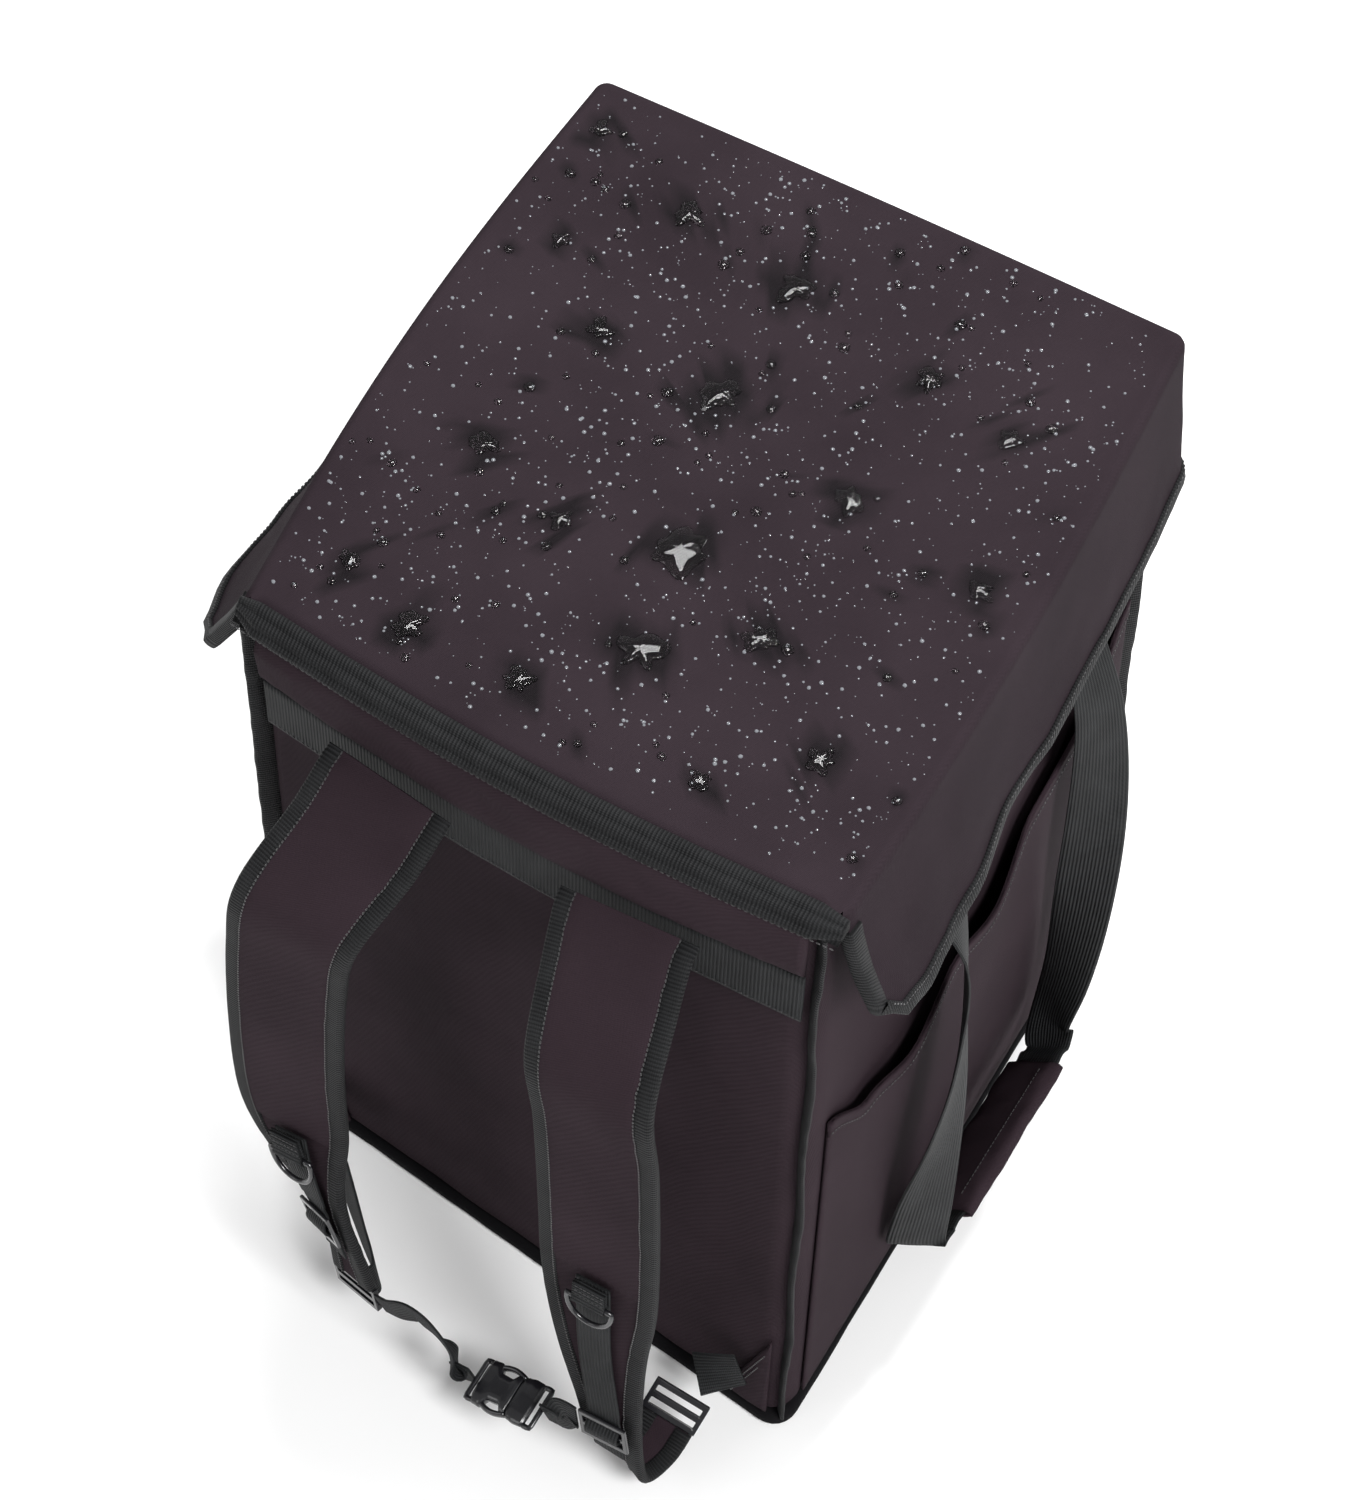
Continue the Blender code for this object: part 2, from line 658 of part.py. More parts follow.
def make_pocket(material):
    """Slip pocket: a panel sewn to the right wall round three sides, its mouth sagging open."""
    foot = BASE_THICKNESS + 0.006
    reach = BAG_DEPTH / 2 - CORNER_RADIUS - BASE_LEDGE - 0.004
    columns, levels = 16, (0.0, 0.25, 0.5, 0.75, 0.9, 1.0)
    builder = bmesh.new()
    faces = []
    for layer in (0.0, POCKET_THICKNESS):
        grid = []
        for column in range(columns + 1):
            share = column / columns
            y = lerp(-reach, reach, share)
            mouth = table_value(POCKET_MOUTH, share, 1) * POCKET_HEIGHT
            gape = table_value(POCKET_MOUTH, share, 2) * POCKET_GAPE
            line = []
            for level in levels:
                height = lerp(foot, mouth, level)
                stand = FIT_GAP + gape * level ** 2
                line.append(builder.verts.new(soft(side_face_x(height) + stand + layer, y, height)))
            grid.append(line)
        faces.append(grid)
    inner, outer = faces
    last = len(levels) - 1
    for column in range(columns):
        for level in range(last):
            for grid in (inner, outer):
                builder.faces.new((
                    grid[column][level], grid[column + 1][level],
                    grid[column + 1][level + 1], grid[column][level + 1],
                ))
        for level in (0, last):
            builder.faces.new((
                inner[column][level], inner[column + 1][level],
                outer[column + 1][level], outer[column][level],
            ))
    for column in (0, columns):
        for level in range(last):
            builder.faces.new((
                inner[column][level], inner[column][level + 1],
                outer[column][level + 1], outer[column][level],
            ))
    return add_object("pocket_right", builder, material)


def strap_frames(side, rows):
    """Centre line frames and widths of the shoulder strap on this side, -1 or 1."""
    root_z = BAG_HEIGHT - LID_THICKNESS - STRIP_HEIGHT - 0.003
    root_y = back_face_y() - WEBBING_THICKNESS - FIT_GAP - STRAP_ROOT_LIFT
    root_x = side * STRAP_SPACING / 2
    root = soft(root_x, root_y, root_z)
    centres, across, widths = [], [], []
    smooth = smooth_rows(rows)
    for drop, reach, spread, tail, turn, tilt in smooth:
        centre = root + Vector((
            side * spread * STRAP_SPREAD, -reach * STRAP_REACH - STRAP_THICKNESS / 2, -drop * STRAP_DROP,
        ))
        turn, tilt = math.radians(turn), math.radians(tilt)
        centres.append(centre)
        flat = math.cos(tilt)
        across.append(Vector((math.cos(turn) * flat, math.sin(turn) * flat, math.sin(tilt))))
        upper = lerp(STRAP_TOP_WIDTH, STRAP_WIDTH, min(reach, 1.0))
        widths.append(lerp(upper, STRAP_TAIL_WIDTH, min(max(tail, 0.0), 1.0)))
    return frames_along(centres, across), widths


def make_strap(side_name, side, rows, fabric, tape):
    frames, widths = strap_frames(side, rows)
    core = [width - 2 * (TAPE_GAP + TAPE_THICKNESS) for width in widths]
    edge_thickness = STRAP_THICKNESS * 0.45
    sections = []
    for (centre, across, normal), width in zip(frames, core):
        half = width / 2
        flat = half - TAPE_WIDTH
        thin, thick = edge_thickness / 2, STRAP_THICKNESS / 2
        outline = (
            (-half, -thin), (-half, thin), (-flat, thin), (-flat * 0.7, thick), (flat * 0.7, thick),
            (flat, thin), (half, thin), (half, -thin), (flat, -thin), (-flat, -thin),
        )
        sections.append([centre + across * a + normal * b for a, b in outline])
    tube(f"strap_{side_name}", sections, fabric)
    for edge_name, edge in (("outer", side), ("inner", -side)):
        folds = fold_sections(frames, core, edge, edge_thickness, TAPE_WIDTH - FIT_GAP)
        tube(f"strap_binding_{side_name}_{edge_name}", folds, tape)
    return frames


def strap_lengths(frames):
    """Distance along the centre line at each frame."""
    lengths = [0.0]
    for before, after in zip(frames, frames[1:]):
        lengths.append(lengths[-1] + (after[0] - before[0]).length)
    return lengths


def frame_at(frames, lengths, distance):
    """The frame at this distance along the centre line."""
    index = 0
    while index < len(frames) - 2 and lengths[index + 1] < distance:
        index += 1
    share = (distance - lengths[index]) / (lengths[index + 1] - lengths[index])
    low, high = frames[index], frames[index + 1]
    return tuple(low[part].lerp(high[part], share) for part in range(3))


def make_ring(side_name, frame, drop_way, plastic):
    """D ring of round wire. Its own X is the bar, which is also its turning axis."""
    centre, across, normal = frame
    half, points = RING_WIDTH / 2, []
    for step in range(3):
        points.append((lerp(-half, half, step / 2), 0.0))
    arc_steps = 10
    for step in range(1, arc_steps):
        angle = math.pi * step / arc_steps
        points.append((half * math.cos(angle), -RING_DEPTH * math.sin(angle) ** 0.8))
    builder = bmesh.new()
    rings = []
    count, sides = len(points), 6
    for index, (x, z) in enumerate(points):
        before, after = points[index - 1], points[(index + 1) % count]
        tangent = Vector((after[0] - before[0], 0, after[1] - before[1])).normalized()
        outward = tangent.cross(Vector((0, 1, 0)))
        ring = []
        for turn in range(sides):
            angle = 2 * math.pi * turn / sides
            offset = outward * math.cos(angle) + Vector((0, 1, 0)) * math.sin(angle)
            ring.append(builder.verts.new(Vector((x, 0, z)) + offset * RING_WIRE / 2))
        rings.append(ring)
    bridge_rings(builder, rings, closed_length=True)
    ring = add_object(f"d_ring_{side_name}", builder, plastic)
    upright = -drop_way
    turning = Matrix((across, upright.cross(across), upright)).transposed()
    ring.matrix_world = Matrix.Translation(centre) @ turning.to_4x4()
    return ring


def make_ring_tab(side_name, frame, drop_way, webbing):
    """Short webbing tab folded round the ring's bar, its two layers sewn together above."""
    centre, across, normal = frame
    face = drop_way.cross(across).normalized()
    inner = RING_WIRE / 2 + FIT_GAP
    outer = inner + TAPE_THICKNESS
    slit = FIT_GAP / 2
    length = RING_TAB_LENGTH
    turns = [math.radians(angle) for angle in (90, 60, 30, 0, -30, -60, -90)]
    outline = [(-length, slit + TAPE_THICKNESS), (-inner * 2.2, slit + TAPE_THICKNESS * 1.5)]
    outline += [(outer * math.cos(a), outer * math.sin(a)) for a in turns]
    outline += [(-inner * 2.2, -slit - TAPE_THICKNESS * 1.5), (-length, -slit - TAPE_THICKNESS)]
    outline += [(-length, -slit), (-inner * 2.2, -slit)]
    outline += [(inner * math.cos(a), inner * math.sin(a)) for a in reversed(turns)]
    outline += [(-inner * 2.2, slit), (-length, slit)]
    sections = []
    for edge in (-0.5, 0.5):
        middle = centre + across * edge * NARROW_WEBBING * 0.92
        sections.append([middle + drop_way * a + face * b for a, b in outline])
    tube(f"ring_tab_{side_name}", sections, webbing)


def make_slider(name, frame, width, height, bars, thickness, plastic):
    """Flat plastic frame with slots between its cross bars."""
    centre, across, normal = frame
    down = across.cross(normal).normalized()
    half_width, half_height = width / 2, height / 2
    rail = GLIDE_BAR * 0.8
    levels = []
    slot = (height - bars * GLIDE_BAR) / (bars - 1)
    for index in range(bars):
        start = -half_height + index * (GLIDE_BAR + slot)
        levels += [start, start + GLIDE_BAR]
    columns = (-half_width, -half_width + rail, half_width - rail, half_width)
    builder = bmesh.new()
    faces = {}
    for layer in (-thickness / 2, thickness / 2):
        for row, level in enumerate(levels):
            for column, x in enumerate(columns):
                point = centre + across * x + down * level + normal * layer
                faces[layer, row, column] = builder.verts.new(point)
    low, high = -thickness / 2, thickness / 2
    filled = [
        (row, column)
        for row in range(len(levels) - 1)
        for column in range(3)
        if column != 1 or row % 2 == 0
    ]
    for row, column in filled:
        around = ((row, column), (row, column + 1), (row + 1, column + 1), (row + 1, column))
        for layer in (low, high):
            builder.faces.new([faces[layer, r, c] for r, c in around])
        neighbours = ((row - 1, column), (row, column + 1), (row + 1, column), (row, column - 1))
        for (begin, stop), neighbour in zip(zip(around, around[1:] + around[:1]), neighbours):
            if neighbour not in filled:
                builder.faces.new((
                    faces[low, *begin], faces[low, *stop], faces[high, *stop], faces[high, *begin],
                ))
    return add_object(name, builder, plastic)


def make_strap_fittings(side_name, frames, stations, webbing, plastic):
    """Ring, its tab, the narrow webbing under it and the slider that the webbing threads."""
    ring_at, glide_at, webbing_end = stations
    lengths = strap_lengths(frames)
    total = lengths[-1]
    on_face = STRAP_THICKNESS / 2 + TAPE_GAP + WEBBING_THICKNESS / 2
    above = on_face + WEBBING_THICKNESS / 2 + FIT_GAP
    ring_lift = above + RING_WIRE / 2 + FIT_GAP + TAPE_THICKNESS
    centre, across, normal = frame_at(frames, lengths, ring_at * total)
    lower = frame_at(frames, lengths, ring_at * total + RING_DEPTH)
    drop_way = (lower[0] + lower[2] * 0.001 - centre).normalized()
    bar = (centre + normal * ring_lift, across, normal)
    make_ring(side_name, bar, drop_way, plastic)
    make_ring_tab(side_name, bar, drop_way, webbing)
    glide_thickness = GLIDE_BAR * 0.62
    glide_lift = above + glide_thickness / 2
    centre, across, normal = frame_at(frames, lengths, glide_at * total)
    frame = (centre + normal * glide_lift, across, normal)
    make_slider(f"tri_glide_{side_name}", frame, GLIDE_WIDTH, GLIDE_HEIGHT, 3, glide_thickness, plastic)
    over = glide_lift + glide_thickness / 2 + FIT_GAP * 2 + WEBBING_THICKNESS / 2
    slot_middle = GLIDE_BAR / 2 + (GLIDE_HEIGHT - 3 * GLIDE_BAR) / 4
    down = across.cross(normal).normalized()
    threading = (
        (-GLIDE_HEIGHT * 0.62, on_face), (-slot_middle - GLIDE_BAR * 0.55, on_face),
        (-slot_middle, (on_face + over) / 2), (-GLIDE_BAR * 0.58, over),
        (GLIDE_BAR * 0.58, over), (slot_middle, (on_face + over) / 2),
        (slot_middle + GLIDE_BAR * 0.55, on_face), (GLIDE_HEIGHT * 0.62, on_face),
    )
    start = ring_at * total - RING_TAB_LENGTH
    begin = glide_at * total - GLIDE_HEIGHT * 0.8
    path = []
    for step in range(8):
        place, side, up = frame_at(frames, lengths, lerp(start, begin, step / 7))
        path.append((place + up * on_face, side))
    path += [(centre + down * place + normal * lift, across) for place, lift in threading]
    begin = glide_at * total + GLIDE_HEIGHT * 0.8
    for step in range(3):
        place, side, up = frame_at(frames, lengths, lerp(begin, webbing_end * total, step / 2))
        path.append((place + up * on_face, side))
    placed = frames_along([p[0] for p in path], [p[1] for p in path])
    sections = band_sections(placed, [NARROW_WEBBING] * len(placed), WEBBING_THICKNESS)
    flat_band(f"ring_webbing_{side_name}", sections, webbing)
    return frame


def make_lock(side_name, frames, plastic):
    """Plastic ladder lock at the end of the padded tail."""
    centre, across, normal = frames[-1]
    ahead = (frames[-1][0] - frames[-2][0]).normalized()
    middle = centre + ahead * (LOCK_HEIGHT / 2 + FIT_GAP)
    make_slider(f"ladder_lock_{side_name}", (middle, across, normal), LOCK_WIDTH, LOCK_HEIGHT, 3,
                GLIDE_BAR, plastic)
    return middle, across, ahead, normal


def make_patch(side_name, side, fabric):
    """Sewn triangle at the lower corner of the back panel. It returns its slanted edge's middle."""
    face = back_face_y() - FIT_GAP
    edge_x = BAG_WIDTH / 2 - CORNER_RADIUS - BASE_LEDGE + PATCH_WRAP
    foot = BASE_THICKNESS + 0.004
    corners = ((edge_x, foot), (edge_x, foot + PATCH_HEIGHT), (edge_x - PATCH_WIDTH, foot))
    sections = []
    for y in (face, face - POCKET_THICKNESS):
        sections.append([soft(side * x, y, z) for x, z in corners])
    tube(f"corner_patch_{side_name}", sections, fabric)
    middle_x, middle_z = edge_x - PATCH_WIDTH / 2, foot + PATCH_HEIGHT / 2
    y = face - POCKET_THICKNESS - TAPE_GAP
    point = soft(side * middle_x, y, middle_z)
    along_edge = soft(side * (middle_x + PATCH_WIDTH / 4), y, middle_z - PATCH_HEIGHT / 4) - point
    into_panel = soft(side * (middle_x - PATCH_WIDTH / 4), y, middle_z) - point
    return point, along_edge.normalized(), into_panel.normalized()


def make_lower_webbing(side_name, lock, patch, webbing):
    """Webbing from the ladder lock to the corner patch."""
    middle, across, ahead, normal = lock
    patch_middle, patch_across, inward = patch
    straight_on, to_back = LOWER_WEBBING_WAYS[side_name]
    if to_back:
        middle = middle + ahead * (LOWER_WEBBING - LOCK_HEIGHT) / 2
        across = ahead
    if across.dot(patch_across) < 0:
        patch_across = -patch_across
    leave = (inward - patch_across * inward.dot(patch_across)).normalized()
    out = leave.cross(patch_across)
    if out.y > 0:
        out = -out
    arrive = (out + leave * 0.5).normalized()
    heading = (ahead * straight_on - normal * to_back).normalized()
    reach = LOCK_HEIGHT / 2 * straight_on + GLIDE_BAR / 2 * to_back
    begin = middle + heading * (reach + 3 * TAPE_GAP)
    end = patch_middle + arrive * 3 * TAPE_GAP
    if straight_on:
        begin += heading * LOWER_WEBBING * 0.33
    rows = [(begin, across)]
    if to_back:
        second = begin + heading * LOWER_WEBBING * 0.3
        near = end + arrive * LOWER_WEBBING * 0.3
        rows.append((second, across))
        for share, twist in ((0.25, 0.5), (0.6, 0.95)):
            twisted = across.lerp(patch_across, twist).normalized()
            sag = Vector((0, 0, -1)) * LOWER_WEBBING_SAG * math.sin(math.pi * share)
            rows.append((second.lerp(near, share) + sag, twisted))
        rows += [(near, patch_across), (near.lerp(end, 0.5), patch_across)]
    else:
        rows.append((begin.lerp(end, 0.5), across.lerp(patch_across, 0.5).normalized()))
    rows.append((end, patch_across))
    make_band(f"lower_webbing_{side_name}", rows, LOWER_WEBBING, WEBBING_THICKNESS, webbing)


def make_chest_straps(slider, lock, webbing, plastic):
    """Two narrow straps that meet in the closed buckle between the shoulder straps."""
    lock_middle, lock_across = lock[0], lock[1]
    slider_middle, slider_across, slider_normal = slider
    slider_up = slider_normal.cross(slider_across)
    if slider_up.z < 0:
        slider_up = -slider_up
    tilt = math.radians(CHEST_TILT)
    upright = Vector((0, -math.sin(tilt), math.cos(tilt)))
    start = lock_middle + lock_across * (LOCK_WIDTH / 2 + 2 * TAPE_GAP)
    stop = slider_middle - slider_across * (GLIDE_WIDTH / 2 + 2 * TAPE_GAP)
    hang = Vector((0, 0, -1))
    begin = start.lerp(stop, CHEST_BUCKLE_START) + hang * CHEST_SAG
    way = (stop + hang * CHEST_SAG * 0.5 - begin).normalized()
    end = begin + way * BUCKLE_LENGTH
    upright = (upright - way * upright.dot(way)).normalized()
    make_buckle(begin, end, upright, plastic)
    gap = 3 * TAPE_GAP
    tuck = BUCKLE_LENGTH / 6
    rows = []
    for share, rise in CHEST_LEFT:
        rows.append((start.lerp(begin, share) - hang * rise * CHEST_SAG, upright))
    for back in (gap + tuck, gap + tuck / 2, gap):
        rows.append((begin - way * back, upright))
    make_band("chest_strap_left", rows, CHEST_WEBBING, WEBBING_THICKNESS, webbing)
    rows = []
    for back in (0.0, STRAP_THICKNESS / 2, STRAP_THICKNESS):
        rows.append((stop - slider_across * back, slider_up))
    for ahead in (gap + STRAP_THICKNESS, gap + STRAP_THICKNESS / 2, gap):
        rows.append((end + way * ahead, upright))
    make_band("chest_strap_right", rows, CHEST_WEBBING, WEBBING_THICKNESS, webbing, 2)


def make_band(name, rows, width, thickness, material, steps=SMOOTH_STEPS):
    """A flat band through rows of (centre, direction across)."""
    smooth = smooth_rows([tuple(centre) + tuple(across) for centre, across in rows], steps)
    centres = [Vector(row[:3]) for row in smooth]
    across = [Vector(row[3:]) for row in smooth]
    frames = frames_along(centres, across)
    flat_band(name, band_sections(frames, [width] * len(frames), thickness), material)
    return frames


def make_handle(side_name, side, webbing, fabric, with_grip):
    """Carry handle that hangs from under the flap: two legs and the run between them."""
    head = BAG_HEIGHT - FLAP_LENGTH * HANDLE_ROOT_SHARE
    rows = []
    for end in (1, -1):
        leg = []
        for drop, reach, inward, turn_front, turn_back in HANDLE_LEG:
            y = end * HANDLE_SPACING * (0.5 - inward)
            z = head - drop * HANDLE_DROP
            x = side_face_x(z) + WEBBING_THICKNESS / 2 + 2 * TAPE_GAP + reach * HANDLE_REACH
            centre = soft(side * x, y, z)
            wall_way = (soft(side * x, y + FIT_GAP, z) - centre).normalized()
            turn = math.radians(turn_front if end > 0 else turn_back)
            leg.append((centre, Matrix.Rotation(-side * turn, 3, "Z") @ wall_way))
        rows.append(leg)
    front, back = rows
    low = min(front[-1][0].z, back[-1][0].z) - HANDLE_TURN
    x = (front[-1][0].x + back[-1][0].x) / 2 + side * GRIP_SHIFT
    tilt = math.radians(GRIP_TILT)
    run_across = Vector((side * math.cos(tilt), 0, math.sin(tilt)))
    middle_y = (front[-1][0].y + back[-1][0].y) / 2
    run = []
    for share in (0.64, 0.57, 0.5, 0.25, 0.0, -0.25, -0.5, -0.57, -0.64):
        run.append((Vector((x, middle_y + share * GRIP_LENGTH, low)), run_across))
    path = front + run + list(reversed(back))
    name = f"handle_webbing_{side_name}"
    frames = make_band(name, path, WIDE_WEBBING, WEBBING_THICKNESS, webbing, HANDLE_STEPS)
    if with_grip:
        first = (len(front) + 2) * HANDLE_STEPS
        last = first + (len(run) - 5) * HANDLE_STEPS
        make_grip(side_name, side, frames[first:last + 1], fabric)


def make_grip(side_name, side, run, fabric):
    """Sleeve round the middle of a carry handle, flattened and open at both ends."""
    sections = {0: [], 1: []}
    slot_width = WIDE_WEBBING + 2 * TAPE_GAP
    slot_thickness = WEBBING_THICKNESS + 2 * TAPE_GAP
    sizes = ((GRIP_WIDTH, GRIP_THICKNESS), (slot_width, slot_thickness))
    sides = 12
    count = 6
    start, stop = run[0][0], run[-1][0]
    for step in range(count + 1):
        share = step / count
        centre, across, normal = start.lerp(stop, share), run[0][1], run[0][2]
        swell = 1.0 if 0 < step < count else 0.9
        for layer, (width, thickness) in enumerate(sizes):
            loop = []
            for turn in range(sides):
                angle = 2 * math.pi * (turn + 0.5) / sides
                a, b = math.cos(angle), math.sin(angle)
                power = 0.45 if layer == 0 else 0.0001
                a = math.copysign(abs(a) ** power, a) if layer == 0 else a
                grow = swell if layer == 0 else 1.0
                loop.append((a, b, width * grow, thickness * grow, centre, across, normal))
            sections[layer].append(loop)
    builder = bmesh.new()
    rings = []
    for layer in (0, 1):
        layer_rings = []
        for loop in sections[layer]:
            ring = []
            for a, b, width, thickness, centre, across, normal in loop:
                if layer == 0:
                    place = across * a * width / 2 + normal * math.copysign(abs(b) ** 0.8, b) * thickness / 2
                else:
                    reach = 1 / max(abs(a), abs(b))
                    place = across * a * reach * width / 2 + normal * b * reach * thickness / 2
                ring.append(builder.verts.new(centre + place))
            layer_rings.append(ring)
        rings.append(layer_rings)
    outer, inner = rings
    bridge_rings(builder, outer + list(reversed(inner)), closed_length=True)
    add_object(f"handle_grip_{side_name}", builder, fabric)


def make_buckle(start, stop, up, plastic):
    """Side-release buckle, closed: a socket body and the pronged half pushed into it."""
    ahead = (stop - start).normalized()
    across = up.cross(ahead).normalized()
    face = ahead.cross(across).normalized()

    def plate(name, low, high, profile, thickness):
        sections = []
        for share, half in profile:
            middle = start + ahead * lerp(low, high, share)
            thin = thickness / 2
            sections.append([
                middle + across * a * half + face * b
                for a, b in ((-1, -thin), (-1, thin * 0.6), (-0.8, thin), (0.8, thin), (1, thin * 0.6), (1, -thin))
            ])
        tube(name, sections, plastic)

    half = BUCKLE_WIDTH / 2
    middle = BUCKLE_LENGTH * 0.58
    socket = ((0.0, half * 0.80), (0.1, half), (0.45, half), (0.6, half * 0.86), (0.85, half * 0.88), (1.0, half * 0.8))
    prong = ((0.0, half * 0.72), (0.2, half * 0.78), (0.5, half * 0.98), (0.9, half), (1.0, half * 0.85))
    plate("chest_buckle_female", 0.0, middle, socket, BUCKLE_THICKNESS)
    plate("chest_buckle_male", middle + FIT_GAP, BUCKLE_LENGTH, prong, BUCKLE_THICKNESS * 0.8)


def remove_startup_objects():
    for obj in list(bpy.data.objects):
        bpy.data.objects.remove(obj, do_unlink=True)


def main():
    remove_startup_objects()
    fabric = make_material("padded_fabric", (0.062, 0.046, 0.055), 0.85)
    tape = make_material("binding_tape", (0.022, 0.022, 0.024), 0.8)
    webbing = make_material("ribbed_webbing", (0.030, 0.032, 0.034), 0.75)
    plastic = make_material("black_plastic", (0.012, 0.012, 0.014), 0.3)
    make_base(tape)
    make_body(fabric)
    for side_name, side in (("left", -1), ("right", 1)):
        for end_name, end in (("back", -1), ("front", 1)):
            make_edge_binding(f"edge_binding_{end_name}_{side_name}", side, end, tape)
    make_pocket(fabric)
    make_lid(fabric)
    make_lid_binding(tape)
    make_hinge_binding(tape)
    make_back_strip(fabric)
    make_back_webbing(webbing)
    locks, sliders = {}, {}
    for side_name, side, rows, stations in (
        ("left", -1, STRAP_LEFT, LEFT_STATIONS), ("right", 1, STRAP_RIGHT, RIGHT_STATIONS),
    ):
        frames = make_strap(side_name, side, rows, fabric, tape)
        sliders[side_name] = make_strap_fittings(side_name, frames, stations, webbing, plastic)
        locks[side_name] = make_lock(side_name, frames, plastic)
        patch = make_patch(side_name, side, fabric)
        make_lower_webbing(side_name, locks[side_name], patch, webbing)
    make_chest_straps(sliders["right"], locks["left"], webbing, plastic)
    for side_name, side in (("left", -1), ("right", 1)):
        make_handle(side_name, side, webbing, fabric, side > 0)


main()
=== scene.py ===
"""Looks of the insulated delivery backpack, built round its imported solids.

Units are metres, +Z up, in the solids' own frame: the back panel faces -Y and the origin is
the middle of the flat underside. The pieces follow the same named sizes and curves as the
solids, with finer steps, folds, ribs, stitches and the water beads on the lid.
"""

import json
import math
import random

import bmesh
import bpy
from mathutils import Matrix, Vector, noise
from mathutils.bvhtree import BVHTree

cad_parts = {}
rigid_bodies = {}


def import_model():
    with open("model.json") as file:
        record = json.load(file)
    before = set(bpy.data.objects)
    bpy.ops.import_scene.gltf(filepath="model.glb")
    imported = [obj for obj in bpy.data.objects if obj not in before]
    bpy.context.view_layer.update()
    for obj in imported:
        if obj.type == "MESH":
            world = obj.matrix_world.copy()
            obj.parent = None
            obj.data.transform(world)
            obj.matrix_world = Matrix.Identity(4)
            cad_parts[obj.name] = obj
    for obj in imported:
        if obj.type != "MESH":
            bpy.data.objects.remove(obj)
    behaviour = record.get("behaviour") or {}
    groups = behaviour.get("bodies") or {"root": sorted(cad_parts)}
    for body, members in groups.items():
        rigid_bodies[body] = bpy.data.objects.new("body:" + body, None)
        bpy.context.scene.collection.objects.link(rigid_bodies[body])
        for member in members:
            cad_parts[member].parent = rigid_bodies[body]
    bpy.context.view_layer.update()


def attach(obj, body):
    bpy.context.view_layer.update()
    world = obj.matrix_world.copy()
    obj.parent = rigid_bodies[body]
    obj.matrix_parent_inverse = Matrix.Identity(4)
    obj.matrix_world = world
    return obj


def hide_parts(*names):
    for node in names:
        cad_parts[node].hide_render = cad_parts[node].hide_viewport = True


# Main sizes
BAG_WIDTH = 0.420
BAG_DEPTH = 0.455
BAG_HEIGHT = 0.609
WALL_THICKNESS = 0.010
CORNER_RADIUS = 0.020
FIT_GAP = 0.0004

# Base
BASE_THICKNESS = 0.012
BASE_LEDGE = 0.004

# Lid
LID_THICKNESS = 0.006
LID_CORNER_RADIUS = 0.009
LID_EDGE_RADIUS = 0.004
FLAP_LENGTH = 0.115
FLAP_CLEARANCE = 0.004
HINGE_SEAM_WIDTH = 0.013
HINGE_SEAM_HEIGHT = 0.013

# Tape, webbing and plastic
TAPE_THICKNESS = 0.0014
TAPE_GAP = 0.0013
TAPE_WIDTH = 0.010
EDGE_FIN_THICKNESS = 0.003
EDGE_FIN_WIDTH = 0.009
WEBBING_THICKNESS = 0.0018
NARROW_WEBBING = 0.025
LOWER_WEBBING = 0.032
WIDE_WEBBING = 0.040

# Back panel
STRIP_HEIGHT = 0.056
STRIP_THICKNESS = 0.008
BAND_DROP = 0.042

# Pocket on the right side
POCKET_THICKNESS = 0.0025
POCKET_HEIGHT = 0.370
POCKET_GAPE = 0.009

# Shoulder straps
STRAP_WIDTH = 0.083
STRAP_TOP_WIDTH = 0.088
STRAP_ROOT_LIFT = 0.0025
STRAP_TAIL_WIDTH = 0.038
STRAP_THICKNESS = 0.009
STRAP_SPACING = 0.164
STRAP_REACH = 0.084
STRAP_DROP = 0.520
STRAP_SPREAD = 0.080
RING_WIDTH = 0.032
RING_DEPTH = 0.023
RING_WIRE = 0.0036
RING_TAB_LENGTH = 0.018
GLIDE_WIDTH = 0.036
GLIDE_HEIGHT = 0.026
GLIDE_BAR = 0.0040
LOCK_WIDTH = 0.040
LOCK_HEIGHT = 0.022
BUCKLE_LENGTH = 0.056
BUCKLE_WIDTH = 0.034
BUCKLE_THICKNESS = 0.010
LOWER_WEBBING_SAG = 0.006
CHEST_WEBBING = 0.025
CHEST_TILT = 8.0
CHEST_SAG = 0.030
CHEST_BUCKLE_START = 0.48
PATCH_WIDTH = 0.034
PATCH_HEIGHT = 0.098
PATCH_WRAP = 0.008

# Carry handles
HANDLE_DROP = 0.470
HANDLE_REACH = 0.030
HANDLE_SPACING = 0.190
HANDLE_ROOT_SHARE = 0.72
HANDLE_TURN = 0.010
GRIP_TILT = 40.0
GRIP_SHIFT = 0.005
GRIP_LENGTH = 0.130
GRIP_WIDTH = 0.048
GRIP_THICKNESS = 0.014

# How far each upright wall bows out at its middle, at full height
BOW_LEFT = 0.012
BOW_RIGHT = 0.008
BOW_BACK = 0.011
BOW_FRONT = 0.002
BOW_FULL_HEIGHT = 0.8

# Shift of the box's corners as the filled bag leans and twists, in shares of width, depth
# and height: side, end, foot across, foot along, head across, head along, head up
CORNER_SHIFTS = (
    (-1, -1, 0.010, 0.051, 0.051, 0.016, -0.009),
    (1, -1, 0.009, -0.058, 0.006, -0.011, -0.004),
    (1, 1, -0.011, -0.019, -0.047, 0.011, 0.017),
    (-1, 1, 0.000, 0.000, -0.019, 0.009, 0.013),
)

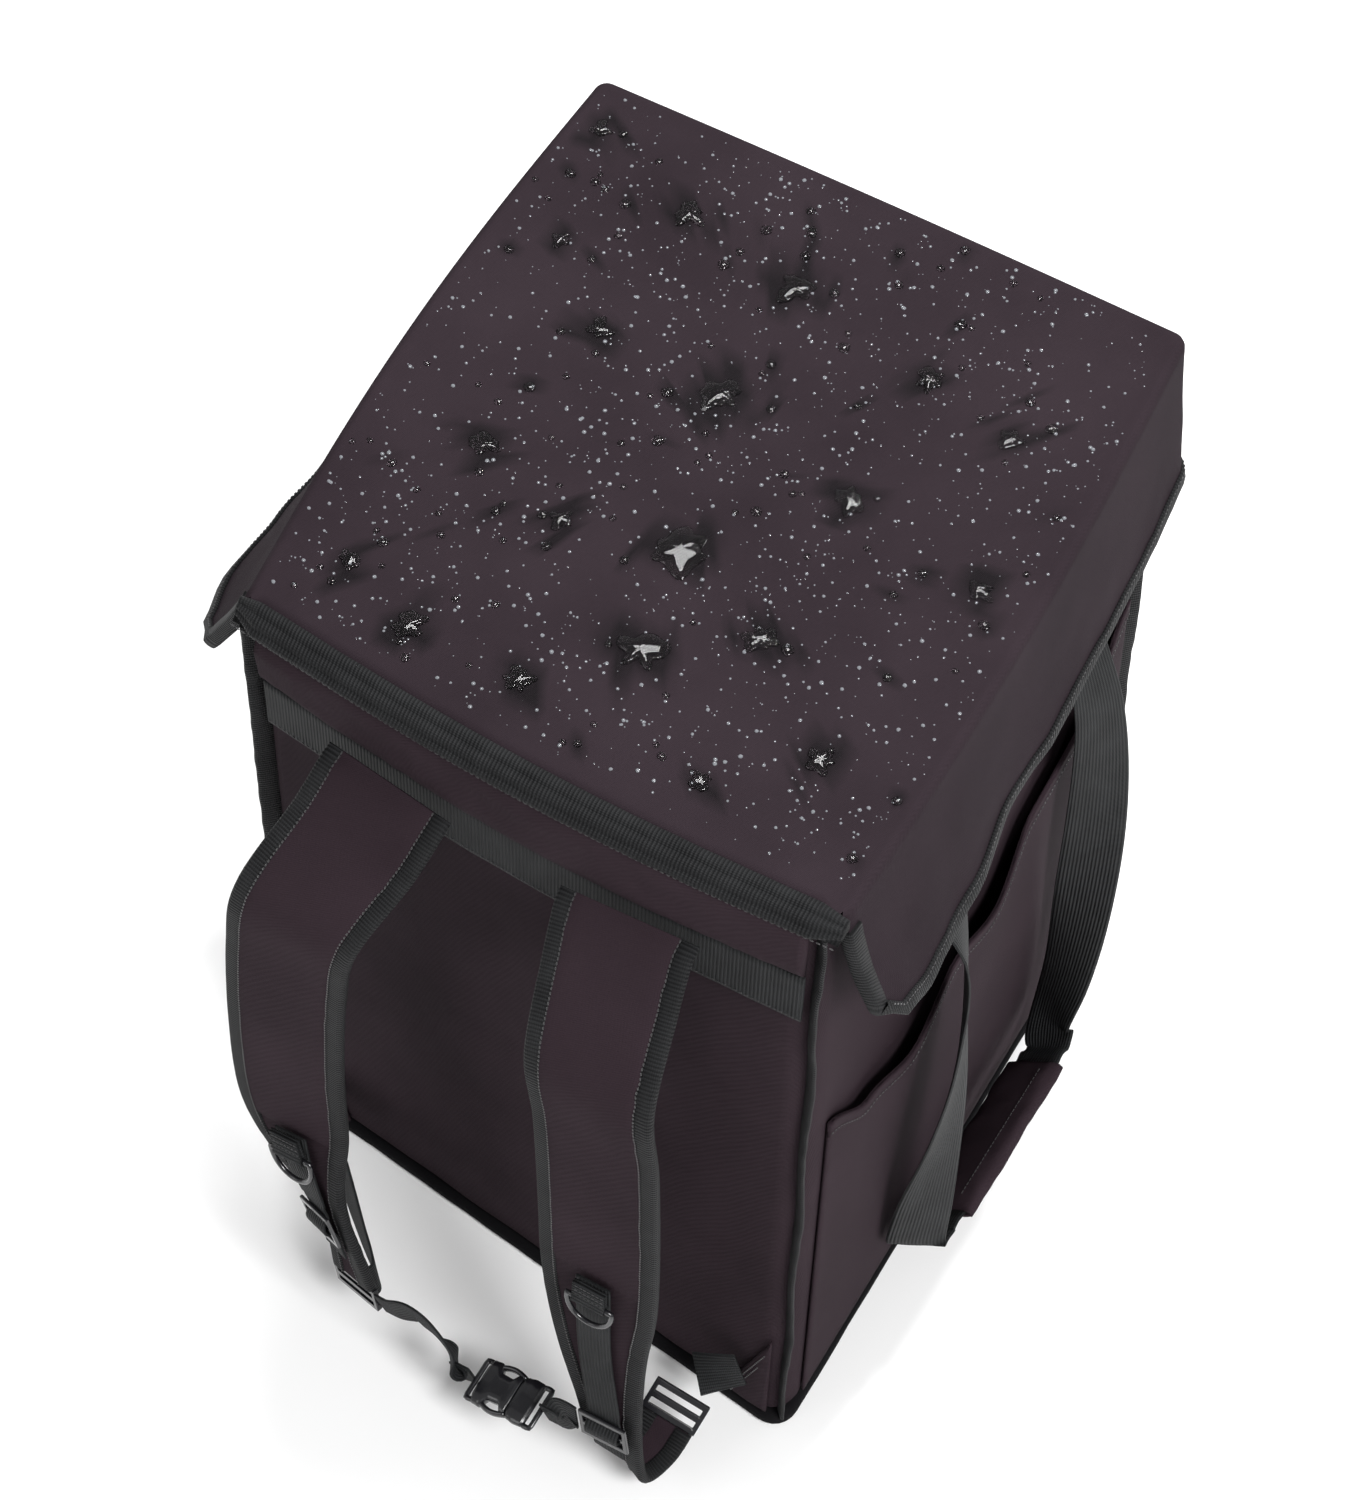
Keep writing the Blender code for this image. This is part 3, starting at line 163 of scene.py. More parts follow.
# Flare of a flap's lower edge, as a share of the flap's length, at shares of the way from
# the back end to the front: share, right flap, left flap, share of the full length there
FLAP_FLARES = (
    (0.00, 0.30, 0.42, 0.66),
    (0.05, 0.31, 0.46, 0.86),
    (0.12, 0.28, 0.47, 0.97),
    (0.25, 0.21, 0.42, 1.00),
    (0.42, 0.11, 0.35, 1.00),
    (0.55, 0.15, 0.30, 0.99),
    (0.70, 0.12, 0.24, 1.00),
    (0.85, 0.14, 0.17, 0.99),
    (1.00, 0.09, 0.08, 1.00),
)
FRONT_FLARE = 0.09

# Mouth of the pocket, from the back edge to the front: share along, share of POCKET_HEIGHT,
# share of POCKET_GAPE
POCKET_MOUTH = (
    (0.00, 0.98, 0.0),
    (0.10, 0.91, 0.5),
    (0.22, 0.88, 1.0),
    (0.36, 0.93, 0.6),
    (0.48, 0.90, 0.9),
    (0.62, 0.98, 0.5),
    (0.80, 0.99, 0.6),
    (1.00, 1.05, 0.0),
)

# Centre line of a shoulder strap from its root: drop as a share of STRAP_DROP, reach of
# STRAP_REACH, spread of STRAP_SPREAD, blend from full to tail width, turn and tilt of its
# face in degrees
STRAP_RIGHT = (
    (0.000, 0.00, 0.00, 0.00, 0, 0),
    (0.012, 0.12, 0.01, 0.00, 0, 0),
    (0.056, 0.36, 0.06, 0.00, 0, 0),
    (0.145, 0.80, 0.17, 0.00, 0, 0),
    (0.263, 0.85, 0.25, 0.00, 0, 0),
    (0.442, 0.87, 0.28, 0.00, 0, 0),
    (0.600, 0.89, 0.29, 0.05, 0, 0),
    (0.723, 0.93, 0.32, 0.35, 0, 0),
    (0.842, 1.02, 0.45, 0.75, 0, 0),
    (0.940, 1.06, 0.55, 0.90, -6, -5),
    (0.988, 0.98, 0.65, 1.00, -16, -16),
    (0.990, 0.80, 0.72, 1.00, -28, -26),
    (0.972, 0.62, 0.75, 1.00, -35, -34),
)
STRAP_LEFT = (
    (0.000, 0.00, 0.08, 0.00, 0, 0),
    (0.012, 0.12, 0.10, 0.00, 0, 0),
    (0.056, 0.36, 0.18, 0.00, 0, 0),
    (0.145, 0.80, 0.40, 0.00, 0, 0),
    (0.263, 0.85, 0.52, 0.00, 0, 0),
    (0.442, 0.87, 0.60, 0.00, 0, 0),
    (0.600, 0.89, 0.60, 0.05, 0, 0),
    (0.690, 0.93, 0.50, 0.35, -8, 0),
    (0.760, 0.99, 0.30, 0.75, -20, 0),
    (0.825, 1.04, 0.12, 1.00, -22, 0),
    (0.895, 1.07, 0.03, 1.00, -14, 0),
)

# Places along a strap, as shares of its length: ring, slider, end of the narrow webbing
RIGHT_STATIONS = (0.585, 0.845, 0.890)
LEFT_STATIONS = (0.745, 0.875, 0.930)

# Leg of a carry handle from its root under the flap: drop as a share of HANDLE_DROP, reach
# of HANDLE_REACH, inward move as a share of HANDLE_SPACING, turn of the webbing in degrees
# at the front and at the back leg
HANDLE_LEG = (
    (0.00, 0.00, 0.00, 0, 0),
    (0.10, 0.24, 0.01, 4, -6),
    (0.22, 0.80, 0.02, 24, -30),
    (0.42, 1.02, 0.01, 52, -20),
    (0.65, 1.02, -0.01, 82, 10),
    (0.85, 0.88, -0.03, 108, 45),
    (0.97, 0.76, -0.01, 122, 60),
)

# Way that the lower webbing leaves its ladder lock: share straight on, share to the back
LOWER_WEBBING_WAYS = {"left": (0.0, 1.0), "right": (1.0, 0.0)}

# Left chest strap from its fitting: share of the way to the buckle, rise as a share of
# CHEST_SAG
CHEST_LEFT = ((0.0, 0.0), (0.15, 0.25), (0.35, 0.8), (0.55, 0.75), (0.72, 0.35))

SMOOTH_STEPS = 9
HANDLE_STEPS = 8


def lerp(low, high, share):
    return low + (high - low) * share


def table_value(rows, share, column):
    """A smooth value of the table's column at this share of the way, its first column."""
    for low, high in zip(rows, rows[1:]):
        if share <= high[0]:
            t = (share - low[0]) / (high[0] - low[0])
            return lerp(low[column], high[column], t * t * (3 - 2 * t))
    return rows[-1][column]


def bow(height):
    """Share of the full bow that a wall has at this height."""
    rise = min(max(height / (BAG_HEIGHT * BOW_FULL_HEIGHT), 0.0), 1.0)
    return math.sin(rise * math.pi / 2)


def soft(x, y, z):
    """The place on the leaning, bowed bag of a point on the straight box."""
    share = min(max(z / BAG_HEIGHT, 0.0), 1.2)
    across = min(max(x / BAG_WIDTH, -0.5), 0.5)
    along = min(max(y / BAG_DEPTH, -0.5), 0.5)
    bow_side = BOW_RIGHT if x > 0 else BOW_LEFT
    bowed_x = 2 * across * bow_side * bow(z) * math.cos(math.pi * along)
    bow_end = BOW_FRONT if y > 0 else BOW_BACK
    bowed_y = 2 * along * bow_end * bow(z) * math.cos(math.pi * across)
    point = Vector((x + bowed_x, y + bowed_y, z))
    for side, end, foot_x, foot_y, head_x, head_y, head_z in CORNER_SHIFTS:
        weight = (0.5 + side * across) * (0.5 + end * along)
        point.x += weight * lerp(foot_x, head_x, share) * BAG_WIDTH
        point.y += weight * lerp(foot_y, head_y, share) * BAG_DEPTH
        point.z += weight * head_z * share * BAG_HEIGHT
    return point


def smooth_rows(rows, steps=SMOOTH_STEPS):
    """Rows of numbers or vectors with smooth steps between them (Catmull-Rom)."""
    result = []
    for index in range(len(rows) - 1):
        before = rows[max(index - 1, 0)]
        low, high = rows[index], rows[index + 1]
        after = rows[min(index + 2, len(rows) - 1)]
        for step in range(steps):
            t = step / steps
            result.append([
                0.5 * ((2 * b) + (c - a) * t + (2 * a - 5 * b + 4 * c - d) * t * t
                       + (3 * b - a - 3 * c + d) * t ** 3)
                for a, b, c, d in zip(before, low, high, after)
            ])
    result.append(list(rows[-1]))
    return result


def frames_along(centres, across):
    """For each centre: the centre, its unit direction across and its unit face normal."""
    frames = []
    for index, (centre, side) in enumerate(zip(centres, across)):
        ahead = centres[min(index + 1, len(centres) - 1)]
        behind = centres[max(index - 1, 0)]
        tangent = (ahead - behind).normalized()
        side = (side - tangent * side.dot(tangent)).normalized()
        frames.append((centre, side, tangent.cross(side).normalized()))
    return frames


def lid_outline(side_steps=44, corner_steps=6):
    """The lid's plan from back left along the left, front and right to the back right."""
    half_x, half_y = BAG_WIDTH / 2, BAG_DEPTH / 2
    back = -half_y + HINGE_SEAM_WIDTH
    radius = LID_CORNER_RADIUS
    rows = []
    for step in range(side_steps):
        rows.append((-half_x, lerp(back, half_y - radius, step / side_steps), -1, 0))
    for step in range(corner_steps + 1):
        angle = math.radians(180 - 90 * step / corner_steps)
        out_x, out_y = math.cos(angle), math.sin(angle)
        rows.append((-half_x + radius * (1 + out_x), half_y - radius * (1 - out_y), out_x, out_y))
    for step in range(1, side_steps):
        rows.append((lerp(-half_x + radius, half_x - radius, step / side_steps), half_y, 0, 1))
    for step in range(corner_steps + 1):
        angle = math.radians(90 - 90 * step / corner_steps)
        out_x, out_y = math.cos(angle), math.sin(angle)
        rows.append((half_x - radius * (1 - out_x), half_y - radius * (1 - out_y), out_x, out_y))
    for step in range(1, side_steps + 1):
        rows.append((half_x, lerp(half_y - radius, back, step / side_steps), 1, 0))
    return rows


def flap_size(x, y, out_x):
    """Length of the flap and flare of its lower edge at this place of the lid's outline."""
    back = -BAG_DEPTH / 2 + HINGE_SEAM_WIDTH
    share = (y - back) / (BAG_DEPTH / 2 - back)
    side = table_value(FLAP_FLARES, share, 1 if x > 0 else 2)
    length = table_value(FLAP_FLARES, share, 3) * FLAP_LENGTH
    return length, lerp(FRONT_FLARE, side, abs(out_x)) * length


def flap_point(row, down):
    """A point of the flap's outer face, down as a share of the flap's length."""
    x, y, out_x, out_y = row
    length, flare = flap_size(x, y, out_x)
    fall = math.sqrt(length ** 2 - flare ** 2)
    lean = down ** 1.3 * flare
    return soft(x + out_x * lean, y + out_y * lean, BAG_HEIGHT - LID_EDGE_RADIUS - fall * down)


def back_face_y():
    """Outer face of the body's back wall on the straight box."""
    return -BAG_DEPTH / 2 + BASE_LEDGE


def side_face_x(height):
    """Outer face of the body's side wall on the straight box at this height."""
    share = height / BAG_HEIGHT
    return BAG_WIDTH / 2 - lerp(BASE_LEDGE, LID_THICKNESS + FLAP_CLEARANCE, share)


def strap_frames(side, rows):
    """Centre line frames and widths of the shoulder strap on this side, -1 or 1."""
    root_z = BAG_HEIGHT - LID_THICKNESS - STRIP_HEIGHT - 0.003
    root_y = back_face_y() - WEBBING_THICKNESS - FIT_GAP - STRAP_ROOT_LIFT
    root_x = side * STRAP_SPACING / 2
    root = soft(root_x, root_y, root_z)
    centres, across, widths = [], [], []
    smooth = smooth_rows(rows)
    for drop, reach, spread, tail, turn, tilt in smooth:
        centre = root + Vector((
            side * spread * STRAP_SPREAD, -reach * STRAP_REACH - STRAP_THICKNESS / 2, -drop * STRAP_DROP,
        ))
        turn, tilt = math.radians(turn), math.radians(tilt)
        centres.append(centre)
        flat = math.cos(tilt)
        across.append(Vector((math.cos(turn) * flat, math.sin(turn) * flat, math.sin(tilt))))
        upper = lerp(STRAP_TOP_WIDTH, STRAP_WIDTH, min(reach, 1.0))
        widths.append(lerp(upper, STRAP_TAIL_WIDTH, min(max(tail, 0.0), 1.0)))
    return frames_along(centres, across), widths


def strap_lengths(frames):
    """Distance along the centre line at each frame."""
    lengths = [0.0]
    for before, after in zip(frames, frames[1:]):
        lengths.append(lengths[-1] + (after[0] - before[0]).length)
    return lengths


def frame_at(frames, lengths, distance):
    """The frame at this distance along the centre line."""
    index = 0
    while index < len(frames) - 2 and lengths[index + 1] < distance:
        index += 1
    share = (distance - lengths[index]) / (lengths[index + 1] - lengths[index])
    low, high = frames[index], frames[index + 1]
    return tuple(low[part].lerp(high[part], share) for part in range(3))


# Looks
TAPE_RIB = 0.0024
WEBBING_RIB = 0.0024
TWILL_PITCH = 0.0013
WEBBING_DARK = (0.005, 0.0053, 0.0057)
WEBBING_LIGHT = (0.021, 0.0222, 0.0235)
CLOTH_ROUGHNESS = 0.85
WET_COLOUR = (0.003, 0.0022, 0.003)
DROP_SEED = 7
EDGE_ROOT = 0.009
LID_ROUND_EDGE = 0.006
BUCKLE_ROD = 0.0019

# Sections of the buckle's two halves: shares of its length, its width and its thickness
BUCKLE_SOCKET = (
    (0.10, 0.70, 0.55), (0.14, 0.96, 0.85), (0.24, 0.98, 0.95), (0.32, 0.60, 0.92), (0.46, 0.58, 0.92),
    (0.53, 0.84, 0.95), (0.58, 0.86, 0.80),
)
BUCKLE_PRONG = (
    (0.595, 0.80, 0.62), (0.64, 0.92, 0.76), (0.74, 0.98, 0.76), (0.84, 0.96, 0.66), (0.87, 0.86, 0.40),
)

# Depths of folds, dents and sags, and how near a corner they begin to fade
WALL_SLACK = 0.0014
WALL_FOLD = 0.0034
WALL_DENT = 0.0010
FLAP_FOLD = 0.0036
FLAP_DENT = 0.0012
LID_SAG = 0.0022
FOLD_FADE = 0.05

# Size and steps of seams: pitch, length and width of a stitch
SEAM_FINE = (0.0034, 0.0024, 0.0009)
SEAM_PLAIN = (0.0036, 0.0024, 0.0008)
SEAM_HINGE = (0.0040, 0.0028, 0.0012)
SEAM_POCKET = (0.0034, 0.0023, 0.0008)
SEAM_STRAP = (0.0030, 0.0022, 0.0010)
SEAM_TAB = (0.0030, 0.0021, 0.0010)
SEAM_PATCH = (0.0032, 0.0022, 0.0009)
SEAM_GRIP = (0.0036, 0.0026, 0.0010)

# Photograph that the camera matches: its size, focal length and centre in pixels
PICTURE = (1367, 1500)
FOCUS = 4035.6
CENTRE_PIXEL = (675.5, 748.4)

# Middles of the larger drops on the lid in the photograph's pixels, with their radius in metres
LARGE_DROPS = (
    (602, 130, 0.007), (690, 215, 0.009), (560, 240, 0.006), (795, 290, 0.010), (720, 395, 0.012),
    (850, 500, 0.009), (485, 445, 0.008), (410, 625, 0.009), (640, 650, 0.012), (680, 550, 0.013),
    (560, 520, 0.007), (930, 380, 0.008), (1010, 440, 0.007), (520, 680, 0.008), (760, 640, 0.009),
    (820, 760, 0.008), (350, 560, 0.006), (600, 330, 0.008), (980, 590, 0.007), (700, 780, 0.006),
)


# Scattered water: piece, count, least and largest radius, sides and rings of each drop
SMALL_WATER = (("water_drops", 110, 0.0022, 0.0040, 16, 4), ("water_beads", 2100, 0.0004, 0.0015, 8, 3))
DROP_SINK = 0.0002
FLAT_ENOUGH = 0.8


def hump(share):
    return math.sin(math.pi * min(max(share, 0.0), 1.0))


def shares(count):
    """Even shares of a way from 0 to 1, both ends included."""
    return [index / count for index in range(count + 1)]


def circle(count):
    """Cosine and sine of even turns round a circle."""
    return [(math.cos(t), math.sin(t)) for t in (2 * math.pi * turn / count for turn in range(count))]


def squarer(value, power):
    """A cosine or sine brought nearer to a square's outline."""
    return math.copysign(abs(value) ** power, value)


def ripple(x, y, z):
    return noise.noise(Vector((x, y, z)))


def add_object(name, data):
    obj = bpy.data.objects.new(name, data)
    bpy.context.scene.collection.objects.link(obj)
    return obj


def new_mesh(name, points, faces):
    mesh = bpy.data.meshes.new(name)
    mesh.from_pydata(points, [], faces)
    return mesh


# Materials

class Look:
    """A Principled material, with short calls for the nodes that feed it."""

    def __init__(self, name, colour, roughness, sheen=0.0, coat=0.0, specular=0.5):
        self.material = bpy.data.materials.new(name)
        self.material.use_nodes = True
        self.nodes = self.material.node_tree.nodes
        self.inputs = self.nodes["Principled BSDF"].inputs
        for socket, value in (
            ("Base Color", (*colour, 1.0)), ("Roughness", roughness), ("Sheen Weight", sheen),
            ("Coat Weight", coat), ("Specular IOR Level", specular),
        ):
            self.inputs[socket].default_value = value

    def feed(self, value, socket):
        """Links a node's output to the socket, or gives the socket a number or a colour."""
        if isinstance(value, bpy.types.NodeSocket):
            self.material.node_tree.links.new(value, socket)
        else:
            socket.default_value = (*value, 1.0) if isinstance(value, tuple) else value

    def place(self):
        return self.nodes.new("ShaderNodeTexCoord").outputs["Object"]

    def maths(self, operation, *values):
        node = self.nodes.new("ShaderNodeMath")
        node.operation = operation
        for socket, value in zip(node.inputs, values):
            self.feed(value, socket)
        return node.outputs[0]

    def plus(self, first, second, factor=1.0):
        """The first value plus the second one times the factor."""
        return self.maths("ADD", first, second if factor == 1.0 else self.maths("MULTIPLY", second, factor))

    def wave(self, vector, direction, pitch):
        """A sine of the place along the direction, from -1 to 1."""
        dot = self.nodes.new("ShaderNodeVectorMath")
        dot.operation = "DOT_PRODUCT"
        self.feed(vector, dot.inputs[0])
        length = math.sqrt(sum(part * part for part in direction))
        dot.inputs[1].default_value = [part / length * 2 * math.pi / pitch for part in direction]
        return self.maths("SINE", dot.outputs["Value"])

    def noise(self, vector, scale, detail):
        node = self.nodes.new("ShaderNodeTexNoise")
        node.inputs["Scale"].default_value = scale
        node.inputs["Detail"].default_value = detail
        self.feed(vector, node.inputs["Vector"])
        return node.outputs["Fac"]

    def mix(self, factor, low, high):
        node = self.nodes.new("ShaderNodeMix")
        node.data_type = "RGBA"
        for value, socket in ((factor, "Factor"), (low, "A"), (high, "B")):
            self.feed(value, node.inputs[socket])
        return node.outputs["Result"]

    def bump(self, height, strength, distance):
        node = self.nodes.new("ShaderNodeBump")
        node.inputs["Strength"].default_value = strength
        node.inputs["Distance"].default_value = distance
        self.feed(height, node.inputs["Height"])
        self.feed(node.outputs["Normal"], self.inputs["Normal"])


def fabric_material(name, dark, light, wet=False):
    """Coated twill: fine slanting ribs and soft patches of colour, darker and smoother where wet."""
    look = Look(name, light, CLOTH_ROUGHNESS, specular=0.06)
    place = look.place()
    broad = look.noise(place, 11.0, 4.0)
    grain = look.noise(place, 900.0, 2.0)
    weave = look.wave(place, (1.0, 0.9, 1.3), TWILL_PITCH)
    cross = look.wave(place, (1.0, -1.0, 0.6), TWILL_PITCH * 0.8)
    threads = look.maths("MULTIPLY", weave, cross)
    mixed = look.plus(look.plus(broad, threads, 0.18), grain, 0.3)
    colour = look.mix(look.maths("SUBTRACT", mixed, 0.15), dark, light)
    if wet:
        attribute = look.nodes.new("ShaderNodeAttribute")
        attribute.attribute_name = "wet"
        wetness = attribute.outputs["Fac"]
        colour = look.mix(wetness, colour, WET_COLOUR)
        rough = look.maths("SUBTRACT", CLOTH_ROUGHNESS, look.maths("MULTIPLY", wetness, 0.5))
        look.feed(rough, look.inputs["Roughness"])
    look.feed(colour, look.inputs["Base Color"])
    look.bump(look.plus(threads, grain, 2.5), 0.5, 0.00022)
    return look.material


def ribbed_material(name, dark, light, lengthwise, pitch):
    """Woven tape or webbing with ribs along or across its length, by the piece's own UV."""
    look = Look(name, light, 0.6, sheen=0.01, specular=0.12)
    place = look.nodes.new("ShaderNodeUVMap").outputs["UV"]
    ways = ((1.0, 0.0, 0.0), (0.0, 1.0, 0.0))
    main, other = ways if lengthwise else reversed(ways)
    ribs = look.wave(place, main, pitch)
    picks = look.wave(place, other, pitch * 0.55)
    dirt = look.noise(look.place(), 60.0, 4.0)
    share = look.plus(look.plus(look.maths("MULTIPLY", ribs, 0.34), picks, 0.12), dirt)
    look.feed(look.mix(share, dark, light), look.inputs["Base Color"])
    look.bump(look.plus(ribs, picks, 0.3), 0.7, 0.0004)
    return look.material


def plastic_material():
    """Moulded black plastic with a fine grain in its gloss."""
    look = Look("moulded_plastic", (0.008, 0.008, 0.010), 0.24, coat=0.3)
    place = look.place()
    grain = look.noise(place, 700.0, 3.0)
    patches = look.noise(place, 90.0, 3.0)
    rough = look.maths("ADD", look.maths("MULTIPLY", patches, 0.18), 0.14)
    look.feed(rough, look.inputs["Roughness"])
    colour = look.mix(patches, (0.005, 0.005, 0.007), (0.014, 0.014, 0.016))
    look.feed(colour, look.inputs["Base Color"])
    look.bump(grain, 0.15, 0.0001)
    return look.material


def thread_material():
    look = Look("thread", (0.02, 0.018, 0.021), 0.55, sheen=0.3)
    twist = look.noise(look.place(), 1500.0, 1.0)
    colour = look.mix(twist, (0.006, 0.0055, 0.0065), (0.022, 0.020, 0.022))
    look.feed(colour, look.inputs["Base Color"])
    return look.material


def water_material(name, colour, clear):
    look = Look(name, colour, 0.04)
    look.inputs["Transmission Weight"].default_value = clear
    look.inputs["IOR"].default_value = 1.33
    return look.material


# Pieces

def finish_piece(obj, material, nodes, body="bag"):
    obj.data.materials.clear()
    obj.data.materials.append(material)
    obj.data.shade_smooth()
    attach(obj, body)
    if nodes:
        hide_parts(*nodes)
    return obj


def loft(name, rows, closed=True, capped=True, looped=False):
    """A mesh through rows of points, with UV in metres: across the rows and along them."""
    count, width = len(rows), len(rows[0])
    across, along = [], [0.0]
    for row in rows:
        spans = [0.0]
        for index in range(width - 1 + closed):
            spans.append(spans[-1] + (row[(index + 1) % width] - row[index]).length)
        across.append(spans)
    middles = [sum(row, Vector()) / width for row in rows]
    for index in range(count - 1 + looped):
        along.append(along[-1] + (middles[(index + 1) % count] - middles[index]).length)
    faces, places = [], []
    for r in range(count - 1 + looped):
        s = (r + 1) % count
        for c in range(width - 1 + closed):
            d = (c + 1) % width
            faces.append((r * width + c, r * width + d, s * width + d, s * width + c))
            places += [(across[r][c], along[r]), (across[r][c + 1], along[r]),
                       (across[s][c + 1], along[r + 1]), (across[s][c], along[r + 1])]
    if closed and capped and not looped:
        for r in (0, count - 1):
            faces.append(tuple(r * width + c for c in range(width)))
            places += [(across[r][c], along[r]) for c in range(width)]
    mesh = new_mesh(name, [point for row in rows for point in row], faces)
    layer = mesh.uv_layers.new(name="UVMap")
    for loop, place in zip(layer.data, places):
        loop.uv = place
    builder = bmesh.new()
    builder.from_mesh(mesh)
    bmesh.ops.recalc_face_normals(builder, faces=builder.faces)
    if closed and builder.calc_volume(signed=True) < 0:
        bmesh.ops.reverse_faces(builder, faces=builder.faces)
    builder.to_mesh(mesh)
    builder.free()
    return add_object(name, mesh)


def band_outline(width, thickness, steps=8):
    """A flat band's section with rounded edges, as (across, up)."""
    half, thin = width / 2, thickness / 2
    top = [(lerp(-half + thin, half - thin, share), thin) for share in shares(steps)]
    under = [(a, -b) for a, b in reversed(top)]
    return [(-half, 0.0)] + top + [(half, 0.0)] + under


def sweep(frames, outlines):
    return [[c + s * a + n * b for a, b in outline] for (c, s, n), outline in zip(frames, outlines)]


def band_piece(name, rows, width, material, steps=SMOOTH_STEPS, cup=0.0):
    smooth = smooth_rows([tuple(c) + tuple(a) for c, a in rows], steps)
    frames = frames_along([Vector(r[:3]) for r in smooth], [Vector(r[3:]) for r in smooth])
    outlines = []
    for index in range(len(frames)):
        bend = cup * ripple(index * 0.11, width * 90, 0.0)
        outlines.append([(a, b + bend * (a / width) ** 2) for a, b in band_outline(width, WEBBING_THICKNESS)])
    obj = loft(name, sweep(frames, outlines))
    finish_piece(obj, material, [name])
    return frames


def stitches(name, lines, material, seam):
    """One mesh of short threads along lines of (point, normal)."""
    pitch, length, width = seam
    points, faces = [], []
    for line in lines:
        gone, target = 0.0, pitch / 2
        for (low, up), (high, _) in zip(line, line[1:]):
            span = (high - low).length
            while span > 0 and target <= gone + span:
                centre = low.lerp(high, (target - gone) / span)
                way = (high - low).normalized()
                side = way.cross(up).normalized()
                rise = side.cross(way)
                first = len(points)
                points.append(centre - way * length / 2)
                for shift in (-0.28, 0.28):
                    for a, b in ((1, 0), (0, 0.8), (-1, 0), (0, -0.8)):
                        points.append(centre + way * shift * length + (side * a + rise * b) * width / 2)
                points.append(centre + way * length / 2)
                for k in range(4):
                    n = (k + 1) % 4
                    faces.append((first, first + 1 + n, first + 1 + k))
                    faces.append((first + 1 + k, first + 1 + n, first + 5 + n, first + 5 + k))
                    faces.append((first + 9, first + 5 + k, first + 5 + n))
                target += pitch
            gone += span
    return finish_piece(add_object(name, new_mesh(name, points, faces)), material, [])


def outline_ways(low_x, low_y, high_x, high_y, radius, side_steps, corner_steps):
    """(x, y, way out x, way out y) anticlockwise round a rectangle with rounded corners."""
    rows = []
    corners = ((low_x, low_y, 1, 1, 180), (high_x, low_y, -1, 1, 270), (high_x, high_y, -1, -1, 0),
               (low_x, high_y, 1, -1, 90))
    for index, (x, y, in_x, in_y, start) in enumerate(corners):
        for step in range(corner_steps + 1):
            angle = math.radians(start + 90 * step / corner_steps)
            a, b = math.cos(angle), math.sin(angle)
            rows.append((x + radius * (in_x + a), y + radius * (in_y + b), a, b))
        following = corners[(index + 1) % 4]
        angle = math.radians(following[4])
        a, b = math.cos(angle), math.sin(angle)
        end = (following[0] + radius * (following[2] + a), following[1] + radius * (following[3] + b))
        begin = rows[-1]
        for step in range(1, side_steps):
            t = step / side_steps
            rows.append((lerp(begin[0], end[0], t), lerp(begin[1], end[1], t), a, b))
    return rows


def wall_fold(x, y, z):
    """How far the cloth of a wall falls back at this place: long upright folds and soft dents."""
    fold = ripple(x * 13, y * 13, z * 3.2)
    dent = ripple(x * 30 + 5, y * 30, z * 12)
    calm = hump(min(z / BAG_HEIGHT, 0.5) + 0.02)
    return min(-WALL_SLACK + WALL_FOLD * fold * calm + WALL_DENT * dent, 0.0002)


def make_body(material):
    """Folds fade out towards the corners. The hidden left and front walls hang plain."""
    foot, rim = BASE_THICKNESS + FIT_GAP, BAG_HEIGHT - LID_THICKNESS - FIT_GAP

    def level(height, inset, radius, folded):
        share = height / BAG_HEIGHT
        side_inset = lerp(BASE_LEDGE, LID_THICKNESS + FLAP_CLEARANCE, share) + inset
        high_x, high_y = BAG_WIDTH / 2 - side_inset, BAG_DEPTH / 2 - side_inset
        ways = outline_ways(-high_x, -BAG_DEPTH / 2 + BASE_LEDGE + inset, high_x, high_y, radius, 34, 6)
        row = []
        for x, y, a, b in ways:
            to_corner = high_x - abs(x) if abs(b) > 0.99 else high_y - abs(y)
            fade = min(1.0, max(0.0, to_corner / FOLD_FADE))
            plain = b and 0.0 in (high_x + inset - abs(x), high_y + inset - abs(y))
            fold = wall_fold(x, y, height) * fade if folded and not plain else 0.0
            row.append(soft(x + a * fold, y + b * fold, height))
        return row

    rows = [level(foot, 0.002, CORNER_RADIUS, True)]
    rows += [level(lerp(foot + 0.004, rim, share), 0.0, CORNER_RADIUS, True) for share in shares(52)]
    inner = CORNER_RADIUS - WALL_THICKNESS / 2
    floor = foot + WALL_THICKNESS
    rows += [level(lerp(rim, floor, share), WALL_THICKNESS, inner, False) for share in shares(8)]
    body = finish_piece(loft("body", rows), material, ["body_shell"])
    return body


def make_base(material):
    half_x, half_y = BAG_WIDTH / 2, BAG_DEPTH / 2
    ways = outline_ways(-half_x, -half_y, half_x, half_y, CORNER_RADIUS, 30, 6)
    rows = []
    for height, inset in ((0.0, 0.004), (0.0008, 0.0014), (0.003, 0.0002), (0.006, 0.0), (0.009, 0.0002),
                          (0.0112, 0.0014), (0.012, 0.004)):
        row = []
        for x, y, a, b in ways:
            dent = 0.0006 * (ripple(x * 40, y * 40, height * 90) - 0.6) if height else -0.0004
            place = soft(x + a * (dent - inset), y + b * (dent - inset), 0.0)
            row.append(Vector((place.x, place.y, height)))
        rows.append(row)
    return finish_piece(loft("base", rows), material, ["base_panel"])


